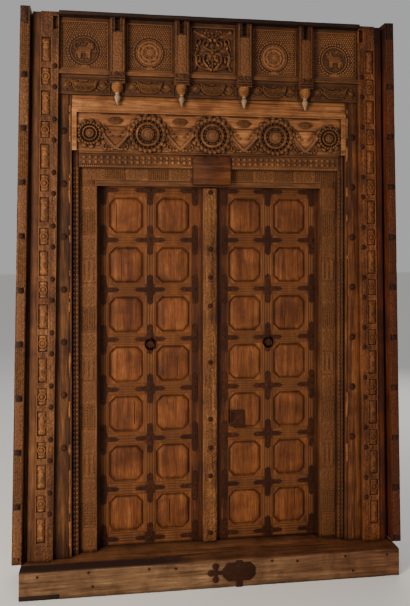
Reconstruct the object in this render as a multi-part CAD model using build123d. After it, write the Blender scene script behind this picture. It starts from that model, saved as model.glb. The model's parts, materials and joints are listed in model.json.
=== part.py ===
from build123d import *
import math
import os

# A carved double door in its stepped wooden frame. Millimetres, +Z up, the front faces -Y.
# The origin is the middle of the sill's underside. A setback is a depth behind the sill's front face.

# Sill
sill_lap = 3.5
sill_depth = 360.0
sill_height = 137.0
sill_edge_wear = 6.0
sill_notch_length = 190.0
sill_notch_height = 24.0
sill_notch_depth = 30.0

# Doorway and the heights of the members above it
opening_width = 1168.0
opening_height = 1853.0
lintel_height = 90.0
lintel_shoulder = 38.0
bead_head_height = 80.0
bead_ledge_height = 14.0
bead_ledge_proud = 10.0
frieze_height = 213.0
head_rail_height = 64.0
relief_height = 88.0
medallion_height = 290.0
cap_height = 20.0
post_stand = 15.0

# Widths of the upright members, from the doorway outwards
inner_jamb_width = 88.0
bead_strip_width = 34.0
plain_post_top_width = 60.0
plain_post_foot_width = 91.0
pilaster_width = 87.0
cove_top_width = 48.0
cove_foot_width = 59.0
outer_post_width = 48.0

# Setbacks of the stepped faces, and of the two back planes
cap_setback = 74.0
outer_post_setback = 78.0
bracket_setback = 88.0
pilaster_setback = 103.0
cove_setback = 112.0
plain_setback = 128.0
bead_setback = 150.0
jamb_setback = 178.0
leaf_setback = 233.0
facing_back = 190.0
frame_back = 300.0

# Carving on the uprights
line_width = 4.0
line_depth = 4.0
edge_bead_width = 10.0
cove_groove_top_width = 8.0
cove_groove_foot_width = 22.0
cove_groove_depth = 30.0
nail_strip_width = 33.0
first_pocket_height = 158.0
last_pocket_drop = 299.0
pocket_rows = 10
pocket_width = 46.0
square_pocket_height = 84.0
tall_pocket_height = 124.0
pocket_depth = 9.0
pocket_boss_height = 7.0
pocket_boss_slope = 11.0
notch_width = 25.0
notch_height = 66.0
notch_depth = 22.0

# Frieze carving
frieze_sink = 14.0
frieze_border = 22.0
rosette_pitch = 330.0
end_rosette_pitch = 289.0
rosette_radius = 90.0
end_rosette_radius = 56.0
rosette_rise = 13.0
rosette_drop = 20.0
vine_width = 11.0
vine_rise = 9.0
vine_gap = 6.0
petal_count = 8
round_sides = 16
petal_tip_share = 0.3
rosette_rim_share = 0.84
rosette_heart_share = 0.27

# Centre block on the lintel
centre_block_width = 194.0
centre_block_rise = 64.0
centre_block_proud = 12.0
centre_block_hang = 82.0
scallop_count = 3
scallop_rise = 10.0

# Crown
crown_setback = 140.0
board_thickness = 18.0
bracket_pitch = 321.0
bracket_count = 4
bracket_width = 74.0
bracket_back_thickness = 13.0
collar_height = 39.0
collar_proud = 7.0
collar_bands = 3
cup_radius = 27.5
cup_height = 44.0
cup_lip_height = 12.0
cup_foot_radius = 13.0
cup_gap = 10.0
pendant_clearance = 2.0
spindle_sides = 8
drop_radius = 16.0
drop_length = 62.0
drop_tip_radius = 3.0
crown_rail_height = 35.0
crown_rail_proud = 16.0
crown_rail_nose = 9.0
medallion_radius = 72.0
medallion_ring_width = 9.0
medallion_lift = 131.0
medallion_rise = 7.0
medallion_sink = 7.0
bay_border = 20.0
bay_side_border = 12.0
bay_sink = 6.0
foliage_size = 178.0
# Leaves of the foliage square: first turn in degrees, then inner end, outer end and width in half sizes
foliage_leaf_shares = [(45, 0.125, 1.3, 0.6), (0, 0.125, 0.9, 0.45)]
# Outline of the beast in the end medallions, in sizes of the disc
beast_shares = [(-0.62, -0.1), (-0.5, -0.62), (-0.32, -0.62), (-0.28, -0.25), (0.2, -0.25), (0.24, -0.62),
                (0.42, -0.62), (0.45, 0.0), (0.7, 0.18), (0.62, 0.5), (0.36, 0.6), (0.12, 0.26),
                (-0.42, 0.28)]
# Outline of the boat on the relief boards, in half lengths and heights
boat_shares = [(-1.0, 0.5), (-0.8, -0.25), (-0.4, -0.5), (0.4, -0.5), (0.8, -0.25), (1.0, 0.5),
               (0.55, 0.125), (-0.55, 0.125)]
relief_margin = 14.0
relief_rise = 9.0
cap_chamfer = 6.0

# Leaves
leaf_thickness = 54.0
leaf_top_lap = 12.0
leaf_floor_gap = 3.0
stop_gap = 1.0
heel_gap = 6.0
pin_radius = 22.0
pin_length = 40.0
pin_clearance = 0.3
pin_end_gap = 0.6
meeting_gap = 4.0
hinge_stile_width = 57.0
meeting_stile_edge = 98.0
muntin_width = 56.0
rail_width = 60.0
row_count = 7
groove_width = 16.0
groove_depth = 12.0
tongue_clearance = 0.4
corner_clip = 34.0
corner_sink = 2.0
field_sink = 10.0
field_shoulder_run = 9.0
field_slope_run = 22.0
field_proud = 3.0

# Meeting cover strip
astragal_width = 76.0
astragal_thickness = 28.0
astragal_chamfer = 6.0
astragal_top_gap = 4.0

# Ironwork
strap_width = 28.0
strap_thickness = 4.0
strap_arm = 78.0
strap_hinge_inset = 32.0
strap_meeting_inset = 19.0
ring_rail_index = 4
ring_radius = 25.0
ring_wire_radius = 4.0
eye_radius = 8.2
eye_wire_radius = 3.0
eye_stand = 9.0
ring_seat_gap = 0.6
ring_stations = 24
eye_stations = 16
wire_sides = 8
lock_plate_width = 76.0
lock_plate_height = 85.0
lock_plate_thickness = 3.0
lock_plate_inset = 9.0
lock_plate_lift = 16.0
lock_rail_index = 2
lock_rim_width = 9.0
lock_rim_height = 4.0
hasp_plate_thickness = 4.0
hasp_length = 242.0
hasp_height = 96.0
hasp_shift = 77.0
hasp_lift = 75.0
hasp_strap_width = 30.0
hasp_lobe_share = 1 / 6
# Middles of the trefoil's lobes, in lobe sizes along from the end and up from the plate's middle
hasp_trefoil_shares = [(1.0, 0.0), (2.5, -2.0), (2.5, 2.0)]
post_stud_radius = 12.5
strip_stud_radius = 9.0
stud_rise = 8.0
stud_sides = 5
strip_stud_spacing = 103.0
astragal_stud_count = 7
astragal_stud_margin = 46.0
extra_stud_share = 1.5

# Levels worked out from the heights
sill_top = sill_height
lintel_z = sill_top + opening_height
jamb_top = lintel_z + lintel_shoulder
bead_head_z = lintel_z + lintel_height
frieze_z = bead_head_z + bead_head_height
head_rail_z = frieze_z + frieze_height
crown_z = head_rail_z + head_rail_height
medallion_z = crown_z + relief_height
cap_z = medallion_z + medallion_height
cap_top = cap_z + cap_height
frame_top = cap_top + post_stand
cut_overrun = sill_height
pocket_pitch = (cap_z - last_pocket_drop - first_pocket_height) / (pocket_rows - 1)

# Edges between the uprights, each as its distance from the middle at the foot and at the top
jamb_inner = (opening_width / 2, opening_width / 2)
bead_inner = (jamb_inner[0] + inner_jamb_width, jamb_inner[1] + inner_jamb_width)
plain_inner = (bead_inner[0] + bead_strip_width, bead_inner[1] + bead_strip_width)
pilaster_inner = (plain_inner[0] + plain_post_foot_width, plain_inner[1] + plain_post_top_width)
pilaster_outer = (pilaster_inner[0] + pilaster_width, pilaster_inner[1] + pilaster_width)
outer_inner = (pilaster_outer[0] + cove_foot_width, pilaster_outer[1] + cove_top_width)
outer_outer = (outer_inner[0] + outer_post_width, outer_inner[1] + outer_post_width)
sill_width = 2 * (outer_inner[0] + sill_lap)

# Leaf places
pivot_x = opening_width / 2
leaf_back = leaf_setback + leaf_thickness
pivot_setback = leaf_setback + leaf_thickness / 2
heel_radius = leaf_thickness / 2
rebate_x = pivot_x + heel_radius + heel_gap
stop_back = leaf_setback - stop_gap
leaf_bottom = sill_top + leaf_floor_gap
leaf_top = lintel_z + leaf_top_lap
rebate_z = leaf_top + leaf_floor_gap
hinge_stile_edge = pivot_x - hinge_stile_width
left_meeting_edge = -astragal_width / 2
right_meeting_edge = astragal_width / 2 + meeting_gap
row_pitch = (leaf_top - leaf_bottom - rail_width) / row_count
column_width = (hinge_stile_edge - meeting_stile_edge - muntin_width) / 2
muntin_x = meeting_stile_edge + column_width + muntin_width / 2
row_height = row_pitch - rail_width


def depth_y(setback):
    """Y of a plane at a setback behind the sill's front face."""
    return setback - sill_depth / 2


def edge_x(edge, z):
    """Distance of a leaning edge from the middle at a height."""
    foot, top = edge
    return foot + (top - foot) * (z - sill_top) / (frame_top - sill_top)


def moved(edge, distance):
    """The same edge, moved sideways."""
    return (edge[0] + distance, edge[1] + distance)


def plate(points, front, back):
    """Solid of a front outline, points of x and z, between two setbacks."""
    outline = Plane.XZ.offset(-depth_y(back)) * Polygon(*points, align=None)
    return extrude(outline, amount=back - front, dir=(0, -1, 0))


def block(x_low, x_high, z_low, z_high, front, back):
    """Box between two setbacks."""
    corners = [(x_low, z_low), (x_high, z_low), (x_high, z_high), (x_low, z_high)]
    return plate(corners, front, back)


def strip(inner, outer, z_low, z_high, front, back):
    """Upright strip between two leaning edges, on the right-hand side."""
    corners = [
        (edge_x(inner, z_low), z_low),
        (edge_x(outer, z_low), z_low),
        (edge_x(outer, z_high), z_high),
        (edge_x(inner, z_high), z_high),
    ]
    return plate(corners, front, back)


def upright(points, z_low, z_high):
    """Solid of a plan outline, points of x and setback, between two heights."""
    plan = [(x, depth_y(setback)) for x, setback in points]
    outline = Plane.XY.offset(z_low) * Polygon(*plan, align=None)
    return extrude(outline, amount=z_high - z_low, dir=(0, 0, 1))


def moulding(points, x_low, x_high):
    """Solid of a section, points of setback and z, along the width."""
    section = [(depth_y(setback), z) for setback, z in points]
    outline = Plane.YZ.offset(x_low) * Polygon(*section, align=None)
    return extrude(outline, amount=x_high - x_low, dir=(1, 0, 0))


def ring_points(x, z, radius, sides):
    """Corners of a regular outline about a centre."""
    turns = [math.radians(360 * (i + 0.5) / sides) for i in range(sides)]
    return [(x + radius * math.cos(a), z + radius * math.sin(a)) for a in turns]


def disc(x, z, radius, front, back):
    """Hand-cut round boss between two setbacks."""
    return plate(ring_points(x, z, radius, round_sides), front, back)


def skin(loops, closed=False):
    """Solid with flat facets between loops of points in space; closed joins the last loop to the first."""
    count = len(loops[0])
    pairs = list(zip(loops, loops[1:]))
    faces = []
    if closed:
        pairs.append((loops[-1], loops[0]))
    else:
        faces += [Face(Wire.make_polygon(loop, close=True)) for loop in (loops[0], loops[-1])]
    for low, high in pairs:
        for i in range(count):
            after = (i + 1) % count
            corners = [low[i], low[after], high[after], high[i]]
            faces.append(Face(Wire.make_polygon(corners, close=True)))
    return Solid(Shell(faces))


def at_setback(points, setback):
    """Points of x and z, placed in space at a setback."""
    return [(x, depth_y(setback), z) for x, z in points]


def frustum(foot, top, front, back):
    """Boss with flat sides that narrows from its foot outline to its front outline."""
    return skin([at_setback(foot, back), at_setback(top, front)])


def pyramid(foot, peak, front, back):
    """Boss whose flat sides rise from its foot outline to one point."""
    low = at_setback(foot, back)
    tip = at_setback([peak], front)[0]
    faces = [Face(Wire.make_polygon(low, close=True))]
    for start, end in zip(low, low[1:] + low[:1]):
        faces.append(Face(Wire.make_polygon([start, end, tip], close=True)))
    return Solid(Shell(faces))


def spindle(profile, x, setback):
    """Upright whittled piece with flat facets, from points of radius and z."""
    y = depth_y(setback)
    turns = [math.radians(360 * (i + 0.5) / spindle_sides) for i in range(spindle_sides)]
    return skin([[(x + r * math.cos(a), y + r * math.sin(a), z) for a in turns] for r, z in profile])


def wire_ring(centre, along, across, radius, wire_radius, stations, sides):
    """Forged ring with a faceted wire, in the plane of two directions through its centre."""
    normal = along.cross(across)
    loops = []
    for i in range(stations):
        turn = math.radians(360 * i / stations)
        out = along * math.cos(turn) + across * math.sin(turn)
        loop = []
        for j in range(sides):
            roll = math.radians(360 * (j + 0.5) / sides)
            reach = radius + wire_radius * math.cos(roll)
            lift = wire_radius * math.sin(roll)
            loop.append(tuple(centre + out * reach + normal * lift))
        loops.append(loop)
    return skin(loops, closed=True)


def rectangle(x, z, width, height):
    """Corners of a rectangle about a centre."""
    return [
        (x - width / 2, z - height / 2),
        (x + width / 2, z - height / 2),
        (x + width / 2, z + height / 2),
        (x - width / 2, z + height / 2),
    ]


def clipped(x, z, width, height, clip):
    """Corners of a rectangle with its corners clipped."""
    half_width = width / 2
    half_height = height / 2
    return [
        (x - half_width + clip, z - half_height),
        (x + half_width - clip, z - half_height),
        (x + half_width, z - half_height + clip),
        (x + half_width, z + half_height - clip),
        (x + half_width - clip, z + half_height),
        (x - half_width + clip, z + half_height),
        (x - half_width, z + half_height - clip),
        (x - half_width, z - half_height + clip),
    ]


def turned_points(points, x, z, angle):
    """Points about the origin, turned by an angle and moved to a centre."""
    cosine = math.cos(math.radians(angle))
    sine = math.sin(math.radians(angle))
    return [(x + a * cosine - b * sine, z + a * sine + b * cosine) for a, b in points]


def petal(x, z, angle, inner, outer, width, front, back):
    """Faceted petal that points away from a centre."""
    middle = inner + (outer - inner) * (1 - petal_tip_share)
    outline = [(inner, 0), (middle, -width / 2), (outer, 0), (middle, width / 2)]
    foot = turned_points(outline, x, z, angle)
    peak = turned_points([(middle, 0)], x, z, angle)[0]
    return pyramid(foot, peak, front, back)


def stud(x, z, radius, face):
    """Forged nail head with flat facets, on a face at a setback."""
    return pyramid(ring_points(x, z, radius, stud_sides), (x, z), face - stud_rise, face)


def pocket_heights():
    """Heights of the square pockets on the pilasters, which the nails follow too."""
    return [first_pocket_height + i * pocket_pitch for i in range(pocket_rows)]


# Frame

def make_sill():
    body = block(-sill_width / 2, sill_width / 2, 0, sill_height, 0, sill_depth)
    front_arris = body.edges().filter_by(Axis.X).group_by(Axis.Z)[-1].sort_by(Axis.Y)[0]
    body = chamfer(front_arris, sill_edge_wear)
    notch_end = -sill_width / 2 + sill_notch_length
    body -= block(-sill_width / 2 - cut_overrun, notch_end, -cut_overrun, sill_notch_height,
                  -cut_overrun, sill_notch_depth)
    depth = pin_length - leaf_floor_gap + pin_end_gap
    for side in (-1, 1):
        socket = Cylinder(pin_radius + pin_clearance, depth, align=(Align.CENTER, Align.CENTER, Align.MAX))
        body -= Pos(side * pivot_x, depth_y(pivot_setback), sill_top) * socket
    return body


def make_sill_hasp_plate():
    """Iron plate on the sill's front: a trefoil end, two scalloped bodies and an upright strap."""
    lobe = hasp_height * hasp_lobe_share
    body_radius = hasp_height / 2
    left = hasp_shift - hasp_length / 2
    first_x = left + hasp_length / 2
    second_x = left + hasp_length - body_radius
    outline = Pos((left + first_x) / 2, hasp_lift) * Rectangle(first_x - left - lobe, lobe)
    for along, up in hasp_trefoil_shares:
        outline += Pos(left + along * lobe, hasp_lift + up * lobe) * RegularPolygon(lobe, spindle_sides)
    along, up = hasp_trefoil_shares[-1]
    stem_height = 2 * up * lobe
    outline += Pos(left + along * lobe, hasp_lift) * Rectangle(lobe, stem_height)
    for centre_x in (first_x, second_x):
        turn = math.degrees(math.pi / spindle_sides)
        outline += Pos(centre_x, hasp_lift) * RegularPolygon(body_radius, spindle_sides, rotation=turn)
    strap_x = (first_x + second_x) / 2
    strap_top = sill_height - sill_edge_wear
    strap_middle = Pos(strap_x, strap_top / 2) * Rectangle(hasp_strap_width, strap_top)
    outline += strap_middle
    placed = Plane.XZ.offset(-depth_y(0)) * outline
    return extrude(placed, amount=hasp_plate_thickness, dir=(0, -1, 0))


def make_outer_post():
    body = strip(outer_inner, outer_outer, sill_top, frame_top, outer_post_setback, facing_back)
    bead = moved(outer_inner, edge_bead_width)
    line_end = moved(bead, line_width)
    groove_back = outer_post_setback + line_depth
    front = outer_post_setback - cut_overrun
    return body - strip(bead, line_end, sill_top - cut_overrun, frame_top + cut_overrun, front, groove_back)


def make_cove_strip():
    """Strip with a flat beside the pilaster and a hollow, wider at its foot, beside the outer post."""
    hollow = (outer_inner[0] - cove_groove_foot_width, outer_inner[1] - cove_groove_top_width)
    floor = cove_setback + cove_groove_depth
    body = strip(pilaster_outer, outer_inner, sill_top, cap_top, floor, facing_back)
    return body + strip(pilaster_outer, hollow, sill_top, cap_top, cove_setback, floor)


def make_carved_pilaster():
    body = strip(pilaster_inner, pilaster_outer, sill_top, cap_top, pilaster_setback, facing_back)
    floor = pilaster_setback + pocket_depth
    front = pilaster_setback - cut_overrun
    line = moved(pilaster_inner, nail_strip_width - line_width)
    line_end = moved(line, line_width)
    pocket_line = moved(line_end, (pilaster_width - nail_strip_width) / 2)
    pockets = []
    bosses = []
    places = [(z, square_pocket_height) for z in pocket_heights()]
    places += [(z + pocket_pitch / 2, tall_pocket_height) for z in pocket_heights()]
    for z, height in places:
        if z - height / 2 < sill_top:
            continue
        x = edge_x(pocket_line, z)
        pockets.append(plate(rectangle(x, z, pocket_width, height), front, floor))
        foot = rectangle(x, z, pocket_width, height)
        top = rectangle(x, z, pocket_width - 2 * pocket_boss_slope, height - 2 * pocket_boss_slope)
        bosses.append(frustum(foot, top, floor - pocket_boss_height, floor))
    body = body - pockets
    body = body + bosses
    notch_x = edge_x(pilaster_inner, cap_top) + nail_strip_width / 2
    notch_z = cap_z - notch_height / 2
    return body - plate(rectangle(notch_x, notch_z, notch_width, notch_height), front,
                        pilaster_setback + notch_depth)


def make_plain_post():
    body = strip(plain_inner, pilaster_inner, sill_top, crown_z, plain_setback, frame_back)
    bead = moved(plain_inner, edge_bead_width)
    return body - strip(bead, moved(bead, line_width), sill_top - cut_overrun, crown_z + cut_overrun,
                        plain_setback - cut_overrun, plain_setback + line_depth)


def make_bead_strip():
    """Dark strip whose face is two rounded rows with a channel between them."""
    inner = bead_inner[0]
    outer = plain_inner[0]
    middle = (inner + outer) / 2
    low = bead_setback + line_depth
    section = [
        (inner, low),
        (inner + line_width, bead_setback),
        (middle - line_width, bead_setback),
        (middle, low),
        (middle + line_width, bead_setback),
        (outer - line_width, bead_setback),
        (outer, low),
        (outer, frame_back),
        (inner, frame_back),
    ]
    return upright(section, sill_top, frieze_z)


def make_inner_jamb():
    """Jamb with a stop in front of the leaf and a rebate behind the stop."""
    inner = jamb_inner[0]
    outer = bead_inner[0]
    floor = jamb_setback + line_depth
    first = inner + edge_bead_width
    second = outer - edge_bead_width
    section = [
        (inner, jamb_setback),
        (first, jamb_setback),
        (first, floor),
        (first + line_width, jamb_setback),
        (second - line_width, jamb_setback),
        (second, floor),
        (second, jamb_setback),
        (outer, jamb_setback),
        (outer, frame_back),
        (rebate_x, frame_back),
        (rebate_x, stop_back),
        (inner, stop_back),
    ]
    return upright(section, sill_top, jamb_top)


def make_inner_lintel():
    """Lintel over the jambs, with its own stop, a rebate and the two upper pin sockets."""
    outer = bead_inner[0]
    body = block(-outer, outer, jamb_top, bead_head_z, jamb_setback, frame_back)
    body += block(-pivot_x, pivot_x, lintel_z, jamb_top, jamb_setback, stop_back)
    body += block(-rebate_x, rebate_x, rebate_z, jamb_top, stop_back, frame_back)
    line_z = lintel_z + lintel_height / 4
    front = jamb_setback - cut_overrun
    body -= block(-pivot_x, pivot_x, line_z, line_z + line_width, front, jamb_setback + line_depth)
    depth = pin_length - leaf_floor_gap + pin_end_gap
    for side in (-1, 1):
        socket = Cylinder(pin_radius + pin_clearance, depth, align=(Align.CENTER, Align.CENTER, Align.MIN))
        body -= Pos(side * pivot_x, depth_y(pivot_setback), rebate_z) * socket
    return body


def make_bead_head():
    """Head of the bead strip: a flat band for two rows of beads, under a thin ledge."""
    outer = bead_inner[0]
    ledge_z = frieze_z - bead_ledge_height
    ledge = bead_setback - bead_ledge_proud
    section = [
        (bead_setback, bead_head_z),
        (bead_setback, ledge_z),
        (ledge, ledge_z + line_width),
        (ledge, frieze_z - line_width),
        (ledge + line_width, frieze_z),
        (frame_back, frieze_z),
        (frame_back, bead_head_z),
    ]
    return moulding(section, -outer, outer)


def make_lintel_centre_block():
    """Plain block in the middle of the lintel, scalloped along its top."""
    half = centre_block_width / 2
    front = bead_setback - centre_block_proud
    top = bead_head_z + centre_block_rise
    shelf = top - scallop_rise
    body = block(-half, half, bead_head_z - centre_block_hang, bead_head_z, front, jamb_setback)
    body += block(-half, half, bead_head_z, shelf, front, bead_setback)
    scallop = centre_block_width / scallop_count / 2
    for i in range(scallop_count):
        x = -half + scallop * (2 * i + 1)
        arch = [(x - scallop, shelf), (x + scallop, shelf), (x + scallop / 2, top), (x - scallop / 2, top)]
        body += plate(arch, front, bead_setback)
    return body


def make_rosette(x, z, radius, face):
    """Lotus rosette: a rim, a ring of petals and a round heart, on a face at a setback."""
    front = face - rosette_rise
    rim_inner = radius * rosette_rim_share
    heart = radius * rosette_heart_share
    rim = disc(x, z, radius, front, face) - disc(x, z, rim_inner, front - cut_overrun, face)
    reach = rim_inner - vine_gap
    width = 2 * reach * math.sin(math.pi / petal_count) * (1 - petal_tip_share / 2)
    inner = heart * (1 - petal_tip_share)
    turns = [360 * i / petal_count for i in range(petal_count)]
    petals = [petal(x, z, turn, inner, reach, width, front, face) for turn in turns]
    return [rim, plate(ring_points(x, z, heart, spindle_sides), front, face)] + petals


def rosette_places():
    """Centre and radius of each rosette along the frieze, from left to right."""
    end = rosette_pitch + end_rosette_pitch
    return [
        (-end, end_rosette_radius),
        (-rosette_pitch, rosette_radius),
        (0, rosette_radius),
        (rosette_pitch, rosette_radius),
        (end, end_rosette_radius),
    ]


def vine_bar(start, end, face):
    """Raised stem between two points of x and z."""
    dx = end[0] - start[0]
    dz = end[1] - start[1]
    length = math.hypot(dx, dz)
    half = vine_width / 2
    outline = [(0, -half), (length, -half), (length, half), (0, half)]
    turned = turned_points(outline, start[0], start[1], math.degrees(math.atan2(dz, dx)))
    return plate(turned, face - vine_rise, face)


def make_frieze_panel():
    """Carved panel: a raised border, five rosettes and stems that dip between them."""
    outer = plain_inner[0]
    face = plain_setback + frieze_sink
    body = block(-outer, outer, frieze_z, head_rail_z, face, frame_back)
    body += block(-outer, outer, head_rail_z - frieze_border, head_rail_z, plain_setback, face)
    for side in (-1, 1):
        edges = sorted((side * outer, side * (outer - frieze_border)))
        body += block(edges[0], edges[1], frieze_z, head_rail_z - frieze_border, plain_setback, face)
    centre_z = frieze_z + frieze_height / 2 - rosette_drop
    places = rosette_places()
    raised = []
    for x, radius in places:
        raised += make_rosette(x, centre_z, radius, face)
    valley_z = frieze_z + vine_width
    for (x, radius), (next_x, next_radius) in zip(places, places[1:]):
        valley_x = (x + radius + next_x - next_radius) / 2
        left = (x + radius + vine_gap, centre_z)
        right = (next_x - next_radius - vine_gap, centre_z)
        raised.append(vine_bar(left, (valley_x, valley_z), face))
        raised.append(vine_bar((valley_x, valley_z), right, face))
    body = body + raised
    outline = rectangle(0, (frieze_z + head_rail_z) / 2, 2 * outer, frieze_height)
    return body & plate(outline, plain_setback - cut_overrun, frame_back)


def make_plain_head_rail():
    """Plain rail between the posts, with a fine line near its lower edge."""
    outer = plain_inner[0]
    line_z = head_rail_z + head_rail_height / 3
    step_z = head_rail_z + head_rail_height * 2 / 3
    section = [
        (plain_setback, head_rail_z),
        (plain_setback, line_z - line_width),
        (plain_setback + line_depth, line_z),
        (plain_setback, line_z + line_width),
        (plain_setback, step_z),
        (plain_setback + line_depth, step_z + line_width),
        (plain_setback + line_depth, crown_z),
        (frame_back, crown_z),
        (frame_back, head_rail_z),
    ]
    return moulding(section, -outer, outer)


def crown_strip(z_low, z_high, front, back):
    """Member that fills the space between the two pilasters."""
    low = edge_x(pilaster_inner, z_low)
    high = edge_x(pilaster_inner, z_high)
    return plate([(-low, z_low), (low, z_low), (high, z_high), (-high, z_high)], front, back)


def make_crown_beam():
    return crown_strip(crown_z, cap_z, crown_setback, frame_back)


def make_crown_cap():
    """Projecting cap with a sloped underside along its front."""
    body = crown_strip(cap_z, cap_top, cap_setback, frame_back)
    reach = pilaster_outer[0]
    slope = [
        (cap_setback - cut_overrun, cap_z - cut_overrun),
        (cap_setback + cap_chamfer, cap_z - cut_overrun),
        (cap_setback + cap_chamfer, cap_z),
        (cap_setback, cap_z + cap_chamfer),
        (cap_setback - cut_overrun, cap_z + cap_chamfer),
    ]
    return body - moulding(slope, -reach, reach)


def bracket_places():
    """Middles of the crown brackets, from left to right."""
    return [bracket_pitch * (i - (bracket_count - 1) / 2) for i in range(bracket_count)]


def bay_edges(bay, z):
    """Left and right edge of a crown bay at a height."""
    places = bracket_places()
    end = edge_x(pilaster_inner, z)
    left = -end if bay == 0 else places[bay - 1] + bracket_width / 2
    right = end if bay == bracket_count else places[bay] - bracket_width / 2
    return left, right


def bay_board(bay, z_low, z_high, front, back):
    """Board that fills a crown bay between two heights."""
    low_left, low_right = bay_edges(bay, z_low)
    high_left, high_right = bay_edges(bay, z_high)
    corners = [(low_left, z_low), (low_right, z_low), (high_right, z_high), (high_left, z_high)]
    return plate(corners, front, back)


def lotus_heart(x, z, face):
    """Small rosette on the disc of a medallion."""
    radius = medallion_radius - 2 * medallion_ring_width
    front = face - medallion_rise
    core = radius / 3
    start = core * (1 - petal_tip_share)
    width = 2 * radius * math.sin(math.pi / petal_count) * (1 - petal_tip_share / 2)
    turns = [360 * i / petal_count for i in range(petal_count)]
    petals = [petal(x, z, turn, start, radius, width, front, face) for turn in turns]
    return [plate(ring_points(x, z, core, spindle_sides), front, face)] + petals


def beast_heart(x, z, face, facing):
    """Worn relief of a standing beast on the disc of a medallion: trunk, neck, head and legs."""
    size = medallion_radius - medallion_ring_width
    outline = [(x + facing * a * size, z + b * size) for a, b in beast_shares]
    return plate(outline, face - medallion_rise, face)


def foliage_square(x, z, face):
    """Square of deep foliage: a round heart in the middle and leaves that spread from it."""
    half = foliage_size / 2
    floor = face + medallion_sink
    leaves = []
    for first_turn, inner_share, outer_share, width_share in foliage_leaf_shares:
        for quarter in range(4):
            leaves.append(petal(x, z, first_turn + 90 * quarter, half * inner_share, half * outer_share,
                                half * width_share, face, floor))
    core = half / 3
    return leaves + [plate(ring_points(x, z, core, spindle_sides), face, floor)]


def make_medallion_panel(bay):
    """Carved board of one crown bay: a raised border, a foot rail and a ringed medallion or a square."""
    face = crown_setback - board_thickness
    ground = face + bay_sink
    body = bay_board(bay, medallion_z, cap_z, face, crown_setback)
    rail_top = medallion_z + crown_rail_height
    rail_nose = medallion_z + crown_rail_nose
    left, right = bay_edges(bay, medallion_z + medallion_lift)
    x = (left + right) / 2
    z = medallion_z + medallion_lift
    sunk_width = right - left - 2 * bay_side_border
    sunk_low = rail_top
    sunk_high = cap_z - bay_border
    sunk = rectangle(x, (sunk_low + sunk_high) / 2, sunk_width, sunk_high - sunk_low)
    body -= plate(sunk, face - cut_overrun, ground)
    body += bay_board(bay, rail_nose, rail_top, face - crown_rail_proud / 2, face)
    body += bay_board(bay, rail_nose, rail_top - crown_rail_nose, face - crown_rail_proud, face)
    if bay == bracket_count // 2:
        square = rectangle(x, z, foliage_size, foliage_size)
        trim = plate(square, ground - cut_overrun, ground + medallion_sink)
        body -= trim
        return body + [leaf & trim for leaf in foliage_square(x, z, ground)]
    inner = medallion_radius - medallion_ring_width
    groove = disc(x, z, medallion_radius, face - cut_overrun, ground + medallion_sink)
    body -= groove - disc(x, z, inner, face - cut_overrun, ground + medallion_sink)
    if bay in (0, bracket_count):
        return body + beast_heart(x, z, ground, 1 if bay == 0 else -1)
    return body + lotus_heart(x, z, ground)


def make_relief_panel(bay):
    """Small board under a bay, with a boat-shaped relief between two round bosses."""
    face = crown_setback - board_thickness
    body = bay_board(bay, crown_z, medallion_z, face, crown_setback)
    left, right = bay_edges(bay, crown_z + relief_height / 2)
    x = (left + right) / 2
    z = crown_z + relief_height / 2
    half = (right - left) / 2 - relief_margin
    boss = relief_height / 4
    boat_half = half - 2 * boss
    height = relief_height - 2 * relief_margin
    outline = [(x + a * boat_half, z + b * height) for a, b in boat_shares]
    front = face - relief_rise
    body += plate(outline, front, face)
    for side in (-1, 1):
        centre = x + side * (half - boss)
        body += pyramid(ring_points(centre, z, boss, spindle_sides), (centre, z), front, face)
    return body


def cup_setback():
    """Setback of the axis that a bracket's cup and its drop share."""
    return plain_setback - drop_radius - pendant_clearance


def make_bracket(x):
    """Crown bracket: back plate, pilaster, banded collar and a turned cup."""
    half = bracket_width / 2
    back_face = crown_setback - bracket_back_thickness
    body = block(x - half, x + half, crown_z, cap_z, back_face, crown_setback)
    cup_z = crown_z + cup_gap
    collar_z = cup_z + cup_height
    body += block(x - half, x + half, collar_z, cap_z, bracket_setback, back_face)
    band = collar_height / (2 * collar_bands)
    for i in range(collar_bands):
        z = collar_z + 2 * i * band
        body += block(x - half, x + half, z, z + band, bracket_setback - collar_proud, bracket_setback)
    lip_z = collar_z - cup_lip_height
    profile = [(cup_foot_radius, cup_z), (cup_radius, lip_z), (cup_radius, collar_z)]
    bowl = spindle(profile, x, cup_setback())
    body += bowl & block(x - half, x + half, crown_z, cap_z, -cut_overrun, crown_setback)
    notch_z = cap_z - notch_height / 2
    return body - plate(rectangle(x, notch_z, notch_width, notch_height), -cut_overrun,
                        bracket_setback + notch_depth)


def make_pendant_drop(x):
    """Whittled drop that hangs from a bracket's cup."""
    top = crown_z + cup_gap
    shoulder = top - drop_length / 3
    tip = top - drop_length
    neck = cup_foot_radius - pendant_clearance
    return spindle([(neck, top), (drop_radius, shoulder), (drop_tip_radius, tip)], x, cup_setback())


def make_frame_studs():
    """Forged nails of the outer posts, the pilasters' nail strips and the plain posts."""
    studs = []
    nail_line = moved(pilaster_inner, nail_strip_width / 2)
    post_line = ((outer_inner[0] + outer_outer[0]) / 2, (outer_inner[1] + outer_outer[1]) / 2)
    plain_line = ((plain_inner[0] + pilaster_inner[0]) / 2, (plain_inner[1] + pilaster_inner[1]) / 2)
    for z in pocket_heights()[1:]:
        studs.append(stud(edge_x(post_line, z), z, strip_stud_radius, outer_post_setback))
        for offset in (-strip_stud_spacing / 2, strip_stud_spacing / 2):
            place = z + offset
            studs.append(stud(edge_x(nail_line, place), place, strip_stud_radius, pilaster_setback))
    for z in pocket_heights()[2:-1]:
        studs.append(stud(edge_x(plain_line, z), z, post_stud_radius, plain_setback))
    return Compound(studs + [mirror(item, about=Plane.YZ) for item in studs])


# Leaves, drawn on the right-hand side of the middle

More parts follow.
